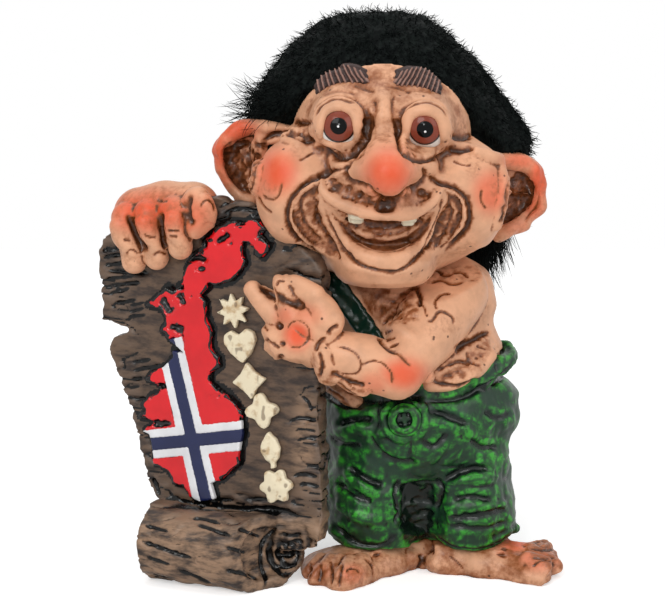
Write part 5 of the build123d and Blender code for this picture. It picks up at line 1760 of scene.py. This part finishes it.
class TROLL_OT_stage(bpy.types.Operator):
    """Lays the floor and sets the lamps and the camera"""

    bl_idname = "troll.stage"
    bl_label = "Stage"

    def execute(self, context):
        scene = context.scene
        deselect()
        bpy.ops.mesh.primitive_plane_add(size=FLOOR_WIDTH)
        floor = context.active_object
        floor.name = "floor"
        paint = Paint("floor white", Roughness=0.9, Specular_IOR_Level=0.0)
        paint.finish((0.93, 0.93, 0.93))
        seen = paint.nodes.new("ShaderNodeLightPath").outputs["Is Camera Ray"]
        paint.shader.inputs["Emission Color"].default_value = (1, 1, 1, 1)
        glow = paint.range(seen, 0.0, 1.0, 0.0, FLOOR_GLOW)
        paint.links.new(glow, paint.shader.inputs["Emission Strength"])
        floor.data.materials.append(paint.material)
        for lamp in LAMPS:
            self.lamp(*lamp)
        world = bpy.data.worlds.new("soft room")
        world.use_nodes = True
        nodes = world.node_tree.nodes
        links = world.node_tree.links
        background = nodes["Background"]
        path = nodes.new("ShaderNodeLightPath")
        level = nodes.new("ShaderNodeMapRange")
        level.inputs["To Min"].default_value = ROOM_LIGHT
        level.inputs["To Max"].default_value = 1.0
        seen = path.outputs["Is Camera Ray"]
        for ray in ("Is Glossy Ray", "Is Transmission Ray"):
            either = nodes.new("ShaderNodeMath")
            either.operation = "MAXIMUM"
            links.new(seen, either.inputs[0])
            links.new(path.outputs[ray], either.inputs[1])
            seen = either.outputs["Value"]
        links.new(seen, level.inputs["Value"])
        links.new(level.outputs["Result"], background.inputs["Strength"])
        background.inputs["Color"].default_value = (1, 1, 1, 1)
        scene.world = world
        camera = bpy.data.cameras.new("camera")
        camera.sensor_width = SENSOR_WIDTH
        camera.lens = FOCAL_PIXELS / FRAME_SIZE[0] * camera.sensor_width
        camera.clip_start = 0.01
        camera.clip_end = 20
        viewer = bpy.data.objects.new("camera", camera)
        viewer.location = Vector(CAMERA_PLACE * MM)
        viewer.rotation_euler = (math.pi / 2 - CAMERA_PITCH, 0, 0)
        scene.collection.objects.link(viewer)
        scene.camera = viewer
        scene.view_settings.view_transform = "Standard"
        return {"FINISHED"}

    def lamp(self, name, place, size, power):
        light = bpy.data.lights.new(name, "AREA")
        light.size = size
        light.energy = power
        lamp = bpy.data.objects.new(name, light)
        lamp.location = place
        aim = LAMPS_AIM - Vector(place)
        lamp.rotation_euler = aim.to_track_quat("-Z", "Y").to_euler()
        bpy.context.scene.collection.objects.link(lamp)


class TROLL_PT_panel(bpy.types.Panel):
    """Lists the figure's pieces"""

    bl_label = "Troll figure"
    bl_idname = "TROLL_PT_panel"
    bl_space_type = "VIEW_3D"
    bl_region_type = "UI"
    bl_category = "Troll"

    def draw(self, context):
        column = self.layout.column()
        for name in TrollSizes.__annotations__:
            column.prop(context.scene.troll_sizes, name)
        for name in TrollColours.__annotations__:
            column.prop(context.scene.troll_colours, name)
        for operator in OPERATORS:
            column.operator(operator.bl_idname)


OPERATORS = (TROLL_OT_head, TROLL_OT_brows, TROLL_OT_eyes, TROLL_OT_teeth, TROLL_OT_body, TROLL_OT_feet,
             TROLL_OT_trousers, TROLL_OT_brace, TROLL_OT_bark, TROLL_OT_relief, TROLL_OT_wig, TROLL_OT_stage)
CLASSES = (TrollSizes, TrollColours, *OPERATORS, TROLL_PT_panel)


def register():
    for each in CLASSES:
        bpy.utils.register_class(each)
    bpy.types.Scene.troll_sizes = bpy.props.PointerProperty(type=TrollSizes)
    bpy.types.Scene.troll_colours = bpy.props.PointerProperty(type=TrollColours)


def unregister():
    del bpy.types.Scene.troll_colours
    del bpy.types.Scene.troll_sizes
    for each in reversed(CLASSES):
        bpy.utils.unregister_class(each)


def main():
    register()
    bpy.ops.troll.stage()
    bpy.ops.troll.head()
    bpy.ops.troll.brows()
    bpy.ops.troll.eyes()
    bpy.ops.troll.teeth()
    bpy.ops.troll.body()
    bpy.ops.troll.feet()
    bpy.ops.troll.trousers()
    bpy.ops.troll.brace()
    bpy.ops.troll.bark()
    bpy.ops.troll.relief()
    bpy.ops.troll.wig()


if __name__ == "__main__":
    main()
